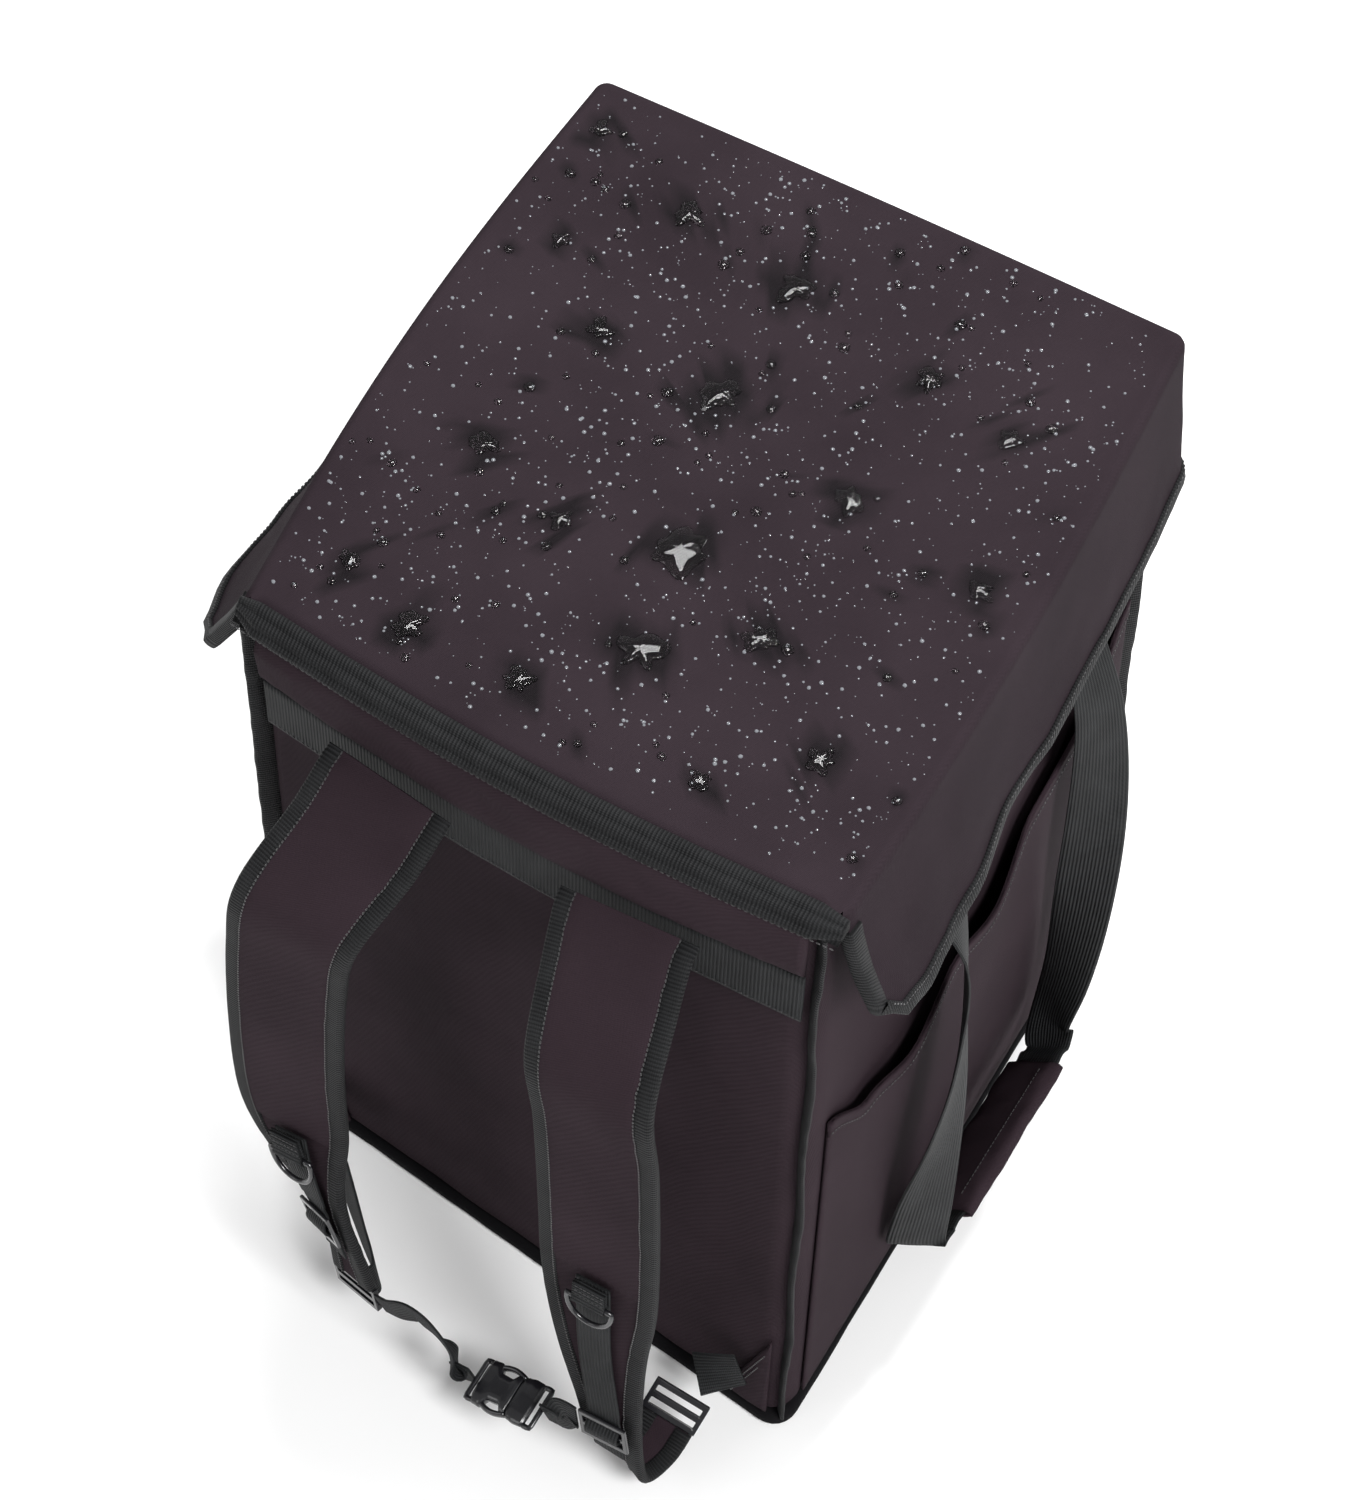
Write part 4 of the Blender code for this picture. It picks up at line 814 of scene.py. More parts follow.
def lid_fold(row, down):
    """How far the hanging flap stands out beyond its plain form."""
    x, y, a, b = row
    along = y if abs(a) > 0.5 else x
    wave = ripple(along * 15 + 3 * a, down * 1.6, a * 2 + b)
    fine = ripple(along * 42, down * 4.0, 3.0 + a)
    return down * (FLAP_FOLD * wave + FLAP_DENT * fine)


def flap_place(row, down):
    fold = lid_fold(row, down)
    point = flap_point(row, down)
    return point + Vector((row[2], row[3], 0.0)) * fold


def top_height(x, y):
    """Dents of the lid's top below its plain level."""
    edge = min(BAG_WIDTH / 2 - abs(x), BAG_DEPTH / 2 - abs(y)) / FOLD_FADE
    calm = min(max(edge, 0.0), 1.0)
    broad = ripple(x * 8, y * 8, 2.0)
    fine = ripple(x * 26, y * 26, 7.0)
    return calm * (0.0016 * broad - 0.0010 + 0.0004 * fine) - 0.0004 * abs(fine)


def make_lid(material):
    ways = lid_outline()
    back = -BAG_DEPTH / 2 + HINGE_SEAM_WIDTH
    seam_end = BAG_WIDTH / 2 - LID_EDGE_RADIUS
    loop = ways + [(lerp(seam_end, -seam_end, share), back, 0, -1) for share in shares(40)]
    middle_y = (back + BAG_DEPTH / 2) / 2
    skirt = [[flap_place(row, 0.03 + 0.97 * share) for row in ways] for share in reversed(shares(26))]
    rings = []
    for turn in (15, 40, 65, 90):
        angle = math.radians(turn)
        inset = LID_ROUND_EDGE * (1 - math.cos(angle))
        height = BAG_HEIGHT - LID_ROUND_EDGE + LID_ROUND_EDGE * math.sin(angle)
        rings.append([soft(x - a * inset, y - (b * inset if b > 0 else 0), height) for x, y, a, b in loop])
    for scale in (0.96, 0.93, 0.89, 0.84, 0.78, 0.72, 0.66, 0.6, 0.54, 0.48, 0.42, 0.36, 0.3, 0.24, 0.18,
                  0.12, 0.06):
        ring = []
        for x, y, a, b in loop:
            inner_x, inner_y = x * scale, middle_y + (y - middle_y) * scale
            sag = LID_SAG * min(1.0, (1 - scale) / 0.6)
            ring.append(soft(inner_x, inner_y, BAG_HEIGHT - sag + top_height(inner_x, inner_y)))
        rings.append(ring)
    builder = bmesh.new()
    lower = [[builder.verts.new(p) for p in row] for row in skirt]
    upper = [[builder.verts.new(p) for p in ring] for ring in rings]
    for low, high in zip(lower, lower[1:] + [upper[0]]):
        for index in range(len(ways) - 1):
            builder.faces.new((low[index], low[index + 1], high[index + 1], high[index]))
    for low, high in zip(upper, upper[1:]):
        for index in range(len(loop)):
            after = (index + 1) % len(loop)
            builder.faces.new((low[index], low[after], high[after], high[index]))
    builder.faces.new(upper[-1])
    bmesh.ops.recalc_face_normals(builder, faces=builder.faces)
    if upper[-1][0].link_faces[0].normal.z < 0:
        bmesh.ops.reverse_faces(builder, faces=builder.faces)
    mesh = bpy.data.meshes.new("lid_cloth")
    builder.to_mesh(mesh)
    builder.free()
    lid = add_object("lid_cloth", mesh)
    shell = lid.modifiers.new("thickness", "SOLIDIFY")
    shell.thickness = LID_THICKNESS * 0.9
    shell.offset = -1.0
    finish_piece(lid, material, ["lid"])
    return lid


def make_lid_binding(material, thread):
    ways = lid_outline()
    downs = (0.12, 0.25, 0.4, 0.55, 0.7, 0.82, 0.92)
    path = [(0, down, 0.0) for down in downs] + [(0, 1.0, 0.5)]
    path += [(index, 1.0, 1.0) for index in range(1, len(ways) - 1)]
    path += [(len(ways) - 1, 1.0, 0.5)] + [(len(ways) - 1, down, 0.0) for down in reversed(downs)]
    sections, upper_line, gone = [], [], 0.0
    for index, down, footward in path:
        row = ways[index]
        point = flap_place(row, down)
        downward = (flap_place(row, down + 0.004) - flap_place(row, down - 0.004)).normalized()
        before, after = ways[max(index - 1, 0)], ways[min(index + 1, len(ways) - 1)]
        along = (flap_place(after, down) - flap_place(before, down)).normalized()
        normal = along.cross(downward).normalized()
        if normal.dot(Vector((row[2], row[3], 0))) < 0:
            normal = -normal
        away = -along if index == 0 else along
        beyond = (away * (1 - footward) + downward * footward) if footward != 0.5 else downward + away
        wave = 0.0005 * ripple(index * 0.9, down * 9, 4.0)
        thick, out = LID_THICKNESS / 2 + 0.0015, 0.0022
        middle = -LID_THICKNESS * 0.45
        outline = [(middle + thick, -TAPE_WIDTH + wave)]
        for turn in (0, 30, 60, 90, 120, 150, 180):
            angle = math.radians(turn)
            outline.append((middle + thick * math.cos(angle), out * math.sin(angle)))
        outline.append((middle - thick, -TAPE_WIDTH))
        outline += [(middle - thick + 0.001, -TAPE_WIDTH), (middle + thick - 0.001, -TAPE_WIDTH + wave)]
        sections.append([point + normal * (a + wave * 0.5) + beyond * b for a, b in outline])
        if footward == 1.0:
            place = point + normal * (middle + thick + 0.0004) - downward * (TAPE_WIDTH - 0.002)
            upper_line.append((place, normal))
    tape = loft("lid_tape", sections)
    finish_piece(tape, material, ["lid_binding"])
    stitches("lid_stitches", [upper_line], thread, SEAM_FINE)


def make_hinge(material, thread):
    """The rolled seam between lid and back panel: three soft rolls and a stitched line below."""
    half_x = BAG_WIDTH / 2 + 0.001
    outer, inner = -BAG_DEPTH / 2 - 0.0035, -BAG_DEPTH / 2 + HINGE_SEAM_WIDTH
    low, high = BAG_HEIGHT - LID_THICKNESS - 0.003, BAG_HEIGHT + 0.0055
    rolls, steps = 3, 27
    sections, line = [], []
    count = 150
    for share in shares(count):
        x = lerp(-half_x, half_x, share)
        end = min(share, 1 - share) * count / 6
        swell = min(1.0, 0.55 + 0.45 * end)
        row = []
        for t in shares(steps):
            angle = t * math.pi / 2
            roll = 0.0013 * abs(math.sin(rolls * math.pi * t)) - 0.0006
            roll += 0.0005 * ripple(x * 55, t * 5, 1.0)
            radius_y, radius_z = (inner - outer) * swell, (high - low) * swell
            y = inner - (radius_y + roll) * math.sin(angle)
            z = low + (radius_z + roll) * math.cos(angle)
            row.append(soft(x, y, z))
        row.append(soft(x, outer + 0.004, low - 0.001))
        row.append(soft(x, inner, low - 0.001))
        sections.append(row)
        line.append((soft(x, outer + 0.001, low - 0.0006), Vector((0, -1, 0.3))))
    rolled = loft("hinge_rolls", sections)
    finish_piece(rolled, material, ["hinge_binding"])
    stitches("hinge_stitches", [line], thread, SEAM_HINGE)


def make_back_strip(material):
    half_x = BAG_WIDTH / 2 - 0.018
    face = back_face_y() - FIT_GAP
    head = BAG_HEIGHT - LID_THICKNESS - 0.0006
    sections = []
    for share in shares(110):
        x = lerp(-half_x, half_x, share)
        lift = 1.0 + 0.35 * (1 - math.sin(share * math.pi))
        foot = head - STRIP_HEIGHT * (1.35 - 0.35 * lift)
        row = [soft(x, face, foot), soft(x, face, head)]
        for down in shares(12):
            level = 0.97 - 0.95 * down
            full = min(1.0, 1.15 * math.sin(math.pi * min(max(level, 0.03), 0.97)) ** 0.45)
            dent = 0.0018 * ripple(x * 22, level * 2.2, 3.0) * full
            dent -= 0.0012 * abs(ripple(x * 55, level * 3, 8.0))
            row.append(soft(x, face - STRIP_THICKNESS * full * 0.96 - dent, lerp(foot, head, level)))
        sections.append(row)
    strip = finish_piece(loft("strip_pad", sections), material, ["back_strip"])
    return strip


def make_back_webbing(material, thread):
    half_x = BAG_WIDTH / 2 - 0.018
    face = back_face_y() - FIT_GAP
    head = BAG_HEIGHT - LID_THICKNESS - STRIP_HEIGHT + 0.003
    foot = head - BAND_DROP - 0.003
    sections, line = [], []
    for share in shares(90):
        x = lerp(-half_x, half_x, share)
        wave = 0.0004 * ripple(x * 40, 2.0, 1.0)
        outer = face - WEBBING_THICKNESS - wave
        row = [soft(x, face + 0.0003, foot), soft(x, outer, foot + 0.0008)]
        row += [soft(x, outer - 0.0002, lerp(foot, head, t / 8)) for t in range(1, 8)]
        row += [soft(x, outer, head), soft(x, face + 0.0003, head)]
        sections.append(row)
        line.append((soft(x, outer - 0.0004, foot + 0.003), Vector((0, -1, 0))))
    finish_piece(loft("back_band", sections), material, ["back_webbing"])
    stitches("back_band_stitches", [line], thread, SEAM_PLAIN)


def make_edge(name, side, end, material):
    foot = BASE_THICKNESS + FIT_GAP
    head = BAG_HEIGHT - (FLAP_LENGTH + TAPE_WIDTH / 2 if end > 0 else HINGE_SEAM_HEIGHT)
    diagonal = Vector((side, end, 0)).normalized()
    along = Vector((-end, side, 0)).normalized() * side * end
    sections = []
    count = 110
    for index in range(count + 1):
        height = lerp(foot, head, index / count)
        share = height / BAG_HEIGHT
        side_inset = lerp(BASE_LEDGE, LID_THICKNESS + FLAP_CLEARANCE, share)
        end_inset = side_inset if end > 0 else BASE_LEDGE
        corner_x = side * (BAG_WIDTH / 2 - side_inset - CORNER_RADIUS)
        corner_y = end * (BAG_DEPTH / 2 - end_inset - CORNER_RADIUS)
        start = soft(corner_x, corner_y, height) + diagonal * (CORNER_RADIUS * 1.03 - EDGE_ROOT)
        wander = 0.0013 * math.sin(index * 0.22) + 0.0010 * ripple(height * 45, side, end)
        reach = EDGE_FIN_WIDTH + EDGE_ROOT + 0.0005 * ripple(height * 70, end, side)
        half = EDGE_FIN_THICKNESS / 2
        row = []
        for a, b in ((-0.6, 0.0), (-1.0, 0.5), (-1.1, 0.75), (-1.0, 0.9), (-0.7, 0.97), (0.0, 1.01),
                     (0.7, 0.97), (1.0, 0.9), (1.1, 0.75), (1.0, 0.5), (0.6, 0.0)):
            row.append(start + along * (a * half + wander * b) + diagonal * b * reach)
        sections.append(row)
    tape = loft(name.replace("edge_binding", "edge_tape"), sections)
    return finish_piece(tape, material, [name])


def make_pocket(material, thread):
    foot = BASE_THICKNESS + 0.006
    reach = BAG_DEPTH / 2 - CORNER_RADIUS - BASE_LEDGE - 0.004
    columns, count = 72, 44

    def place(share, level, layer):
        y = lerp(-reach, reach, share)
        mouth = table_value(POCKET_MOUTH, share, 1) * POCKET_HEIGHT
        gape = table_value(POCKET_MOUTH, share, 2) * POCKET_GAPE
        height = lerp(foot, mouth, level)
        fold = 0.0016 * (ripple(0.2, y * 14, height * 3.5) + 0.5)
        fold *= hump(share) ** 0.5 * hump(level * 0.55)
        return soft(side_face_x(height) + FIT_GAP + gape * level ** 2 + layer + fold, y, height)

    for name, low, layer, nodes in (("pocket_cloth", 0.0, POCKET_THICKNESS, ["pocket_right"]),
                                    ("pocket_hem", 0.955, POCKET_THICKNESS + 0.0009, [])):
        steps = count if low == 0.0 else 4
        sections = []
        levels = [lerp(low, 1.0, rise) for rise in shares(steps)]
        for share in shares(columns):
            row = [place(share, level, layer) for level in levels]
            row += [place(share, level, layer - POCKET_THICKNESS * 0.8) for level in reversed(levels)]
            sections.append(row)
        finish_piece(loft(name, sections), material, nodes)
    line = [(place(share, 0.968, POCKET_THICKNESS + 0.0013), Vector((1, 0, 0))) for share in shares(columns)]
    stitches("pocket_stitches", [line], thread, SEAM_POCKET)


def make_strap(side_name, side, rows, stations, fabric, tape, thread):
    frames, widths = strap_frames(side, rows)
    lengths = strap_lengths(frames)
    total = lengths[-1]
    seam = stations[0] * total - RING_TAB_LENGTH * 0.8
    edge_thickness = STRAP_THICKNESS * 0.45
    sections, folds, edge_lines = [], {1: [], -1: []}, {1: [], -1: []}
    for (centre, across, normal), width, gone in zip(frames, widths, lengths):
        core = width - 2 * (TAPE_GAP + TAPE_THICKNESS)
        half = core / 2
        tail = min(max((gone - seam) / 0.006, 0.0), 1.0)
        dip = 0.55 * math.exp(-((gone - seam) / 0.0035) ** 2)
        full = lerp(1.0, 0.62, tail) - dip
        row = []
        for direction in (1, -1):
            for share in shares(16):
                a = lerp(-half, half, share) * direction
                inside = min(1.0, (half - abs(a)) / (TAPE_WIDTH * 1.25))
                rounding = inside * inside * (3 - 2 * inside)
                rise = lerp(edge_thickness / 2, STRAP_THICKNESS / 2 * full, rounding)
                rise += 0.0006 * ripple(a * 30, gone * 16, side * 3.0) * inside
                row.append(centre + across * a + normal * rise * direction)
        sections.append(row)
        for edge in (1, -1):
            rim = centre + across * edge * half
            out = across * edge
            wave = 0.0006 * ripple(gone * 130, edge * 4.0, side * 2.0)
            thick = edge_thickness / 2 + TAPE_THICKNESS + 0.0003 + wave * 0.6
            reach = TAPE_WIDTH * 0.92 + wave
            outline = [(-reach, thick - 0.0009), (-reach + 0.0006, thick), (0.0, thick)]
            for turn in (60, 30, 0, -30, -60):
                angle = math.radians(turn)
                outline.append((0.0030 * math.cos(angle), thick * math.sin(angle)))
            outline += [(0.0, -thick), (-reach + 0.0006, -thick), (-reach, -thick + 0.0009)]
            folds[edge].append([rim + out * a + normal * b for a, b in outline])
            edge_lines[edge].append((rim - out * (reach - 0.0012) + normal * (thick + 0.0003), normal))
    strap = loft(f"strap_pad_{side_name}", sections)
    finish_piece(strap, fabric, [f"strap_{side_name}"])
    for edge_name, edge in (("outer", side), ("inner", -side)):
        name = f"strap_binding_{side_name}_{edge_name}"
        finish_piece(loft(f"strap_tape_{side_name}_{edge_name}", folds[edge]), tape, [name])
    stitches(f"strap_stitches_{side_name}", [edge_lines[1], edge_lines[-1]], thread, SEAM_STRAP)
    return frames


def make_ring(side_name, frame, drop_way, material):
    """D ring of round wire, turned about its bar with the solid it replaces."""
    centre, across, _ = frame
    half = RING_WIDTH / 2
    points = [(lerp(-half, half, share), 0.0) for share in shares(8)]
    for step in range(1, 28):
        angle = math.pi * step / 28
        points.append((half * math.cos(angle), -RING_DEPTH * math.sin(angle) ** 0.8))
    upright = -drop_way
    depth = upright.cross(across)
    rows = []
    for index, (x, z) in enumerate(points):
        before, after = points[index - 1], points[(index + 1) % len(points)]
        tangent = Vector((after[0] - before[0], 0, after[1] - before[1])).normalized()
        outward = tangent.cross(Vector((0, 1, 0)))
        row = []
        for a, b in circle(12):
            offset = outward * a + Vector((0, 1, 0)) * b
            place = Vector((x, 0, z)) + offset * RING_WIRE / 2
            row.append(centre + across * place.x + depth * place.y + upright * place.z)
        rows.append(row)
    ring = loft(f"ring_wire_{side_name}", rows, looped=True)
    return finish_piece(ring, material, [f"d_ring_{side_name}"], f"ring_{side_name}")


def make_ring_tab(side_name, frame, drop_way, material, thread):
    centre, across, normal = frame
    face = drop_way.cross(across).normalized()
    inner = RING_WIRE / 2 + FIT_GAP
    outer = inner + TAPE_THICKNESS
    slit, length = FIT_GAP / 2, RING_TAB_LENGTH
    turns = [math.radians(90 - 15 * step) for step in range(13)]
    outline = [(-length, slit + TAPE_THICKNESS), (-inner * 2.2, slit + TAPE_THICKNESS * 1.4)]
    outline += [(outer * math.cos(a), outer * math.sin(a)) for a in turns]
    outline += [(-inner * 2.2, -slit - TAPE_THICKNESS * 1.4), (-length, -slit - TAPE_THICKNESS)]
    outline += [(-length, -slit), (-inner * 2.2, -slit)]
    outline += [(inner * math.cos(a), inner * math.sin(a)) for a in reversed(turns)]
    outline += [(-inner * 2.2, slit), (-length, slit)]
    sections = []
    for edge in (-0.5, -0.25, 0.0, 0.25, 0.5):
        middle = centre + across * edge * NARROW_WEBBING * 0.92
        sections.append([middle + drop_way * a + face * b for a, b in outline])
    tab = loft(f"tab_{side_name}", sections)
    finish_piece(tab, material, [f"ring_tab_{side_name}"])
    lines = []
    up = face if face.dot(normal) > 0 else -face
    for back in (0.35, 0.6, 0.85):
        lines.append([(centre - drop_way * length * back + across * a * NARROW_WEBBING * 0.4
                       + up * (slit + TAPE_THICKNESS + 0.0003), up) for a in (-1, 1)])
    stitches(f"tab_stitches_{side_name}", lines, thread, SEAM_TAB)


def bevelled(obj_name, material, width=0.0007):
    """A hard solid kept as it is, with softened edges and its moulded finish."""
    obj = bpy.data.objects[obj_name]
    weld = obj.modifiers.new("weld", "WELD")
    weld.merge_threshold = 0.00001
    edge = obj.modifiers.new("bevel", "BEVEL")
    edge.width = width
    edge.segments = 3
    edge.limit_method = "ANGLE"
    edge.angle_limit = math.radians(35)
    edge.harden_normals = False
    obj.data.materials.clear()
    obj.data.materials.append(material)
    return obj


def make_fittings(side_name, frames, stations, webbing, plastic, thread):
    ring_at, glide_at, webbing_end = stations
    lengths = strap_lengths(frames)
    total = lengths[-1]
    on_face = STRAP_THICKNESS / 2 + TAPE_GAP + WEBBING_THICKNESS / 2
    above = on_face + WEBBING_THICKNESS / 2 + FIT_GAP
    ring_lift = above + RING_WIRE / 2 + FIT_GAP + TAPE_THICKNESS
    centre, across, normal = frame_at(frames, lengths, ring_at * total)
    lower = frame_at(frames, lengths, ring_at * total + RING_DEPTH)
    drop_way = (lower[0] + lower[2] * 0.001 - centre).normalized()
    bar = (centre + normal * ring_lift, across, normal)
    make_ring(side_name, bar, drop_way, plastic)
    make_ring_tab(side_name, bar, drop_way, webbing, thread)
    glide_thickness = GLIDE_BAR * 0.62
    glide_lift = above + glide_thickness / 2
    centre, across, normal = frame_at(frames, lengths, glide_at * total)
    over = glide_lift + glide_thickness / 2 + FIT_GAP * 2 + WEBBING_THICKNESS / 2
    slot_middle = GLIDE_BAR / 2 + (GLIDE_HEIGHT - 3 * GLIDE_BAR) / 4
    down = across.cross(normal).normalized()
    threading = (
        (-GLIDE_HEIGHT * 0.62, on_face), (-slot_middle - GLIDE_BAR * 0.55, on_face),
        (-slot_middle, (on_face + over) / 2), (-GLIDE_BAR * 0.58, over),
        (GLIDE_BAR * 0.58, over), (slot_middle, (on_face + over) / 2),
        (slot_middle + GLIDE_BAR * 0.55, on_face), (GLIDE_HEIGHT * 0.62, on_face),
    )
    path = []
    begin = glide_at * total - GLIDE_HEIGHT * 0.8
    for share in shares(7):
        place, side, up = frame_at(frames, lengths, lerp(ring_at * total - RING_TAB_LENGTH, begin, share))
        path.append((place + up * on_face, side))
    path += [(centre + down * place + normal * lift, across) for place, lift in threading]
    begin = glide_at * total + GLIDE_HEIGHT * 0.8
    for share in shares(2):
        place, side, up = frame_at(frames, lengths, lerp(begin, webbing_end * total, share))
        path.append((place + up * on_face, side))
    band_piece(f"ring_webbing_{side_name}", path, NARROW_WEBBING, webbing, 4)
    bevelled(f"tri_glide_{side_name}", plastic)
    bevelled(f"ladder_lock_{side_name}", plastic)
    return centre + normal * glide_lift, across, normal


def patch_edge(side):
    face = back_face_y() - FIT_GAP
    edge_x = BAG_WIDTH / 2 - CORNER_RADIUS - BASE_LEDGE + PATCH_WRAP
    foot = BASE_THICKNESS + 0.004
    middle_x, middle_z = edge_x - PATCH_WIDTH / 2, foot + PATCH_HEIGHT / 2
    y = face - POCKET_THICKNESS - TAPE_GAP
    point = soft(side * middle_x, y, middle_z)
    along = soft(side * (middle_x + PATCH_WIDTH / 4), y, middle_z - PATCH_HEIGHT / 4) - point
    inward = soft(side * (middle_x - PATCH_WIDTH / 4), y, middle_z) - point
    return point, along.normalized(), inward.normalized()


def make_patch(side_name, side, fabric, thread):
    face = back_face_y() - FIT_GAP
    edge_x = BAG_WIDTH / 2 - CORNER_RADIUS - BASE_LEDGE + PATCH_WRAP
    foot = BASE_THICKNESS + 0.004
    sections, lines = [], [[], []]
    for share in shares(24):
        z = foot + PATCH_HEIGHT * share
        width = max(PATCH_WIDTH * (1 - share), 0.0012)
        row = [soft(side * edge_x, face, z), soft(side * (edge_x - width), face, z)]
        for inside in shares(8):
            full = 0.75 + 0.3 * hump(inside) + 0.08 * ripple(inside * 3, z * 60, side)
            row.append(soft(side * (edge_x - width * (1 - inside)), face - POCKET_THICKNESS * full, z))
        sections.append(row)
        for line, inset in zip(lines, (0.003, 0.006)):
            if width > inset * 2.2:
                place = soft(side * (edge_x - width + inset), face - POCKET_THICKNESS * 1.12, z)
                line.append((place, Vector((0, -1, 0))))
    patch = loft(f"patch_{side_name}", sections)
    finish_piece(patch, fabric, [f"corner_patch_{side_name}"])
    stitches(f"patch_stitches_{side_name}", lines, thread, SEAM_PATCH)


def make_lower_webbing(side_name, side, lock, webbing):
    middle, across, ahead, normal = lock
    patch_middle, patch_across, inward = patch_edge(side)
    straight_on, to_back = LOWER_WEBBING_WAYS[side_name]
    if to_back:
        middle = middle + ahead * (LOWER_WEBBING - LOCK_HEIGHT) / 2
        across = ahead
    if across.dot(patch_across) < 0:
        patch_across = -patch_across
    leave = (inward - patch_across * inward.dot(patch_across)).normalized()
    out = leave.cross(patch_across)
    if out.y > 0:
        out = -out
    arrive = (out + leave * 0.5).normalized()
    heading = (ahead * straight_on - normal * to_back).normalized()
    reach = LOCK_HEIGHT / 2 * straight_on + GLIDE_BAR / 2 * to_back
    begin = middle + heading * (reach + 3 * TAPE_GAP)
    end = patch_middle + arrive * 3 * TAPE_GAP
    if straight_on:
        begin += heading * LOWER_WEBBING * 0.33
    rows = [(begin, across)]
    if to_back:
        second = begin + heading * LOWER_WEBBING * 0.3
        near = end + arrive * LOWER_WEBBING * 0.3
        rows.append((second, across))
        for share, twist in ((0.25, 0.5), (0.6, 0.95)):
            twisted = across.lerp(patch_across, twist).normalized()
            sag = Vector((0, 0, -1)) * LOWER_WEBBING_SAG * math.sin(math.pi * share)
            rows.append((second.lerp(near, share) + sag, twisted))
        rows += [(near, patch_across), (near.lerp(end, 0.5), patch_across)]
    else:
        rows.append((begin.lerp(end, 0.5), across.lerp(patch_across, 0.5).normalized()))
    rows.append((end, patch_across))
    band_piece(f"lower_webbing_{side_name}", rows, LOWER_WEBBING, webbing)


def make_chest(slider, lock, webbing, plastic):
    lock_middle, lock_across = lock[0], lock[1]
    slider_middle, slider_across, slider_normal = slider
    slider_up = slider_normal.cross(slider_across)
    if slider_up.z < 0:
        slider_up = -slider_up
    tilt = math.radians(CHEST_TILT)
    upright = Vector((0, -math.sin(tilt), math.cos(tilt)))
    start = lock_middle + lock_across * (LOCK_WIDTH / 2 + 2 * TAPE_GAP)
    stop = slider_middle - slider_across * (GLIDE_WIDTH / 2 + 2 * TAPE_GAP)
    hang = Vector((0, 0, -1))
    begin = start.lerp(stop, CHEST_BUCKLE_START) + hang * CHEST_SAG
    way = (stop + hang * CHEST_SAG * 0.5 - begin).normalized()
    end = begin + way * BUCKLE_LENGTH
    upright = (upright - way * upright.dot(way)).normalized()
    gap, tuck = 3 * TAPE_GAP, BUCKLE_LENGTH / 6
    rows = [(start.lerp(begin, share) - hang * rise * CHEST_SAG, upright) for share, rise in CHEST_LEFT]
    for back in (gap + tuck, gap + tuck / 2, gap * 0.3):
        rows.append((begin - way * back, upright))
    band_piece("chest_strap_left", rows, CHEST_WEBBING, webbing, SMOOTH_STEPS, 0.004)
    rows = [(stop - slider_across * back, slider_up) for back in (0.0, STRAP_THICKNESS / 2, STRAP_THICKNESS)]
    for ahead in (gap + STRAP_THICKNESS, gap + STRAP_THICKNESS / 2, gap * 0.3):
        rows.append((end + way * ahead, upright))
    band_piece("chest_strap_right", rows, CHEST_WEBBING, webbing)
    make_buckle(begin, end, upright, plastic)


def rod_rows(points, radius, flat, sides=10, looped=False):
    """Rows round a path of (ahead, across, face) points, flattened in the face direction."""
    rows = []
    for index, point in enumerate(points):
        before = points[index - 1] if looped or index else point
        after = points[(index + 1) % len(points)] if looped or index < len(points) - 1 else point
        tangent = (after - before).normalized()
        side = tangent.cross(Vector((0, 0, 1))).normalized()
        rows.append([point + side * a * radius + Vector((0, 0, flat)) * b for a, b in circle(sides)])
    return rows


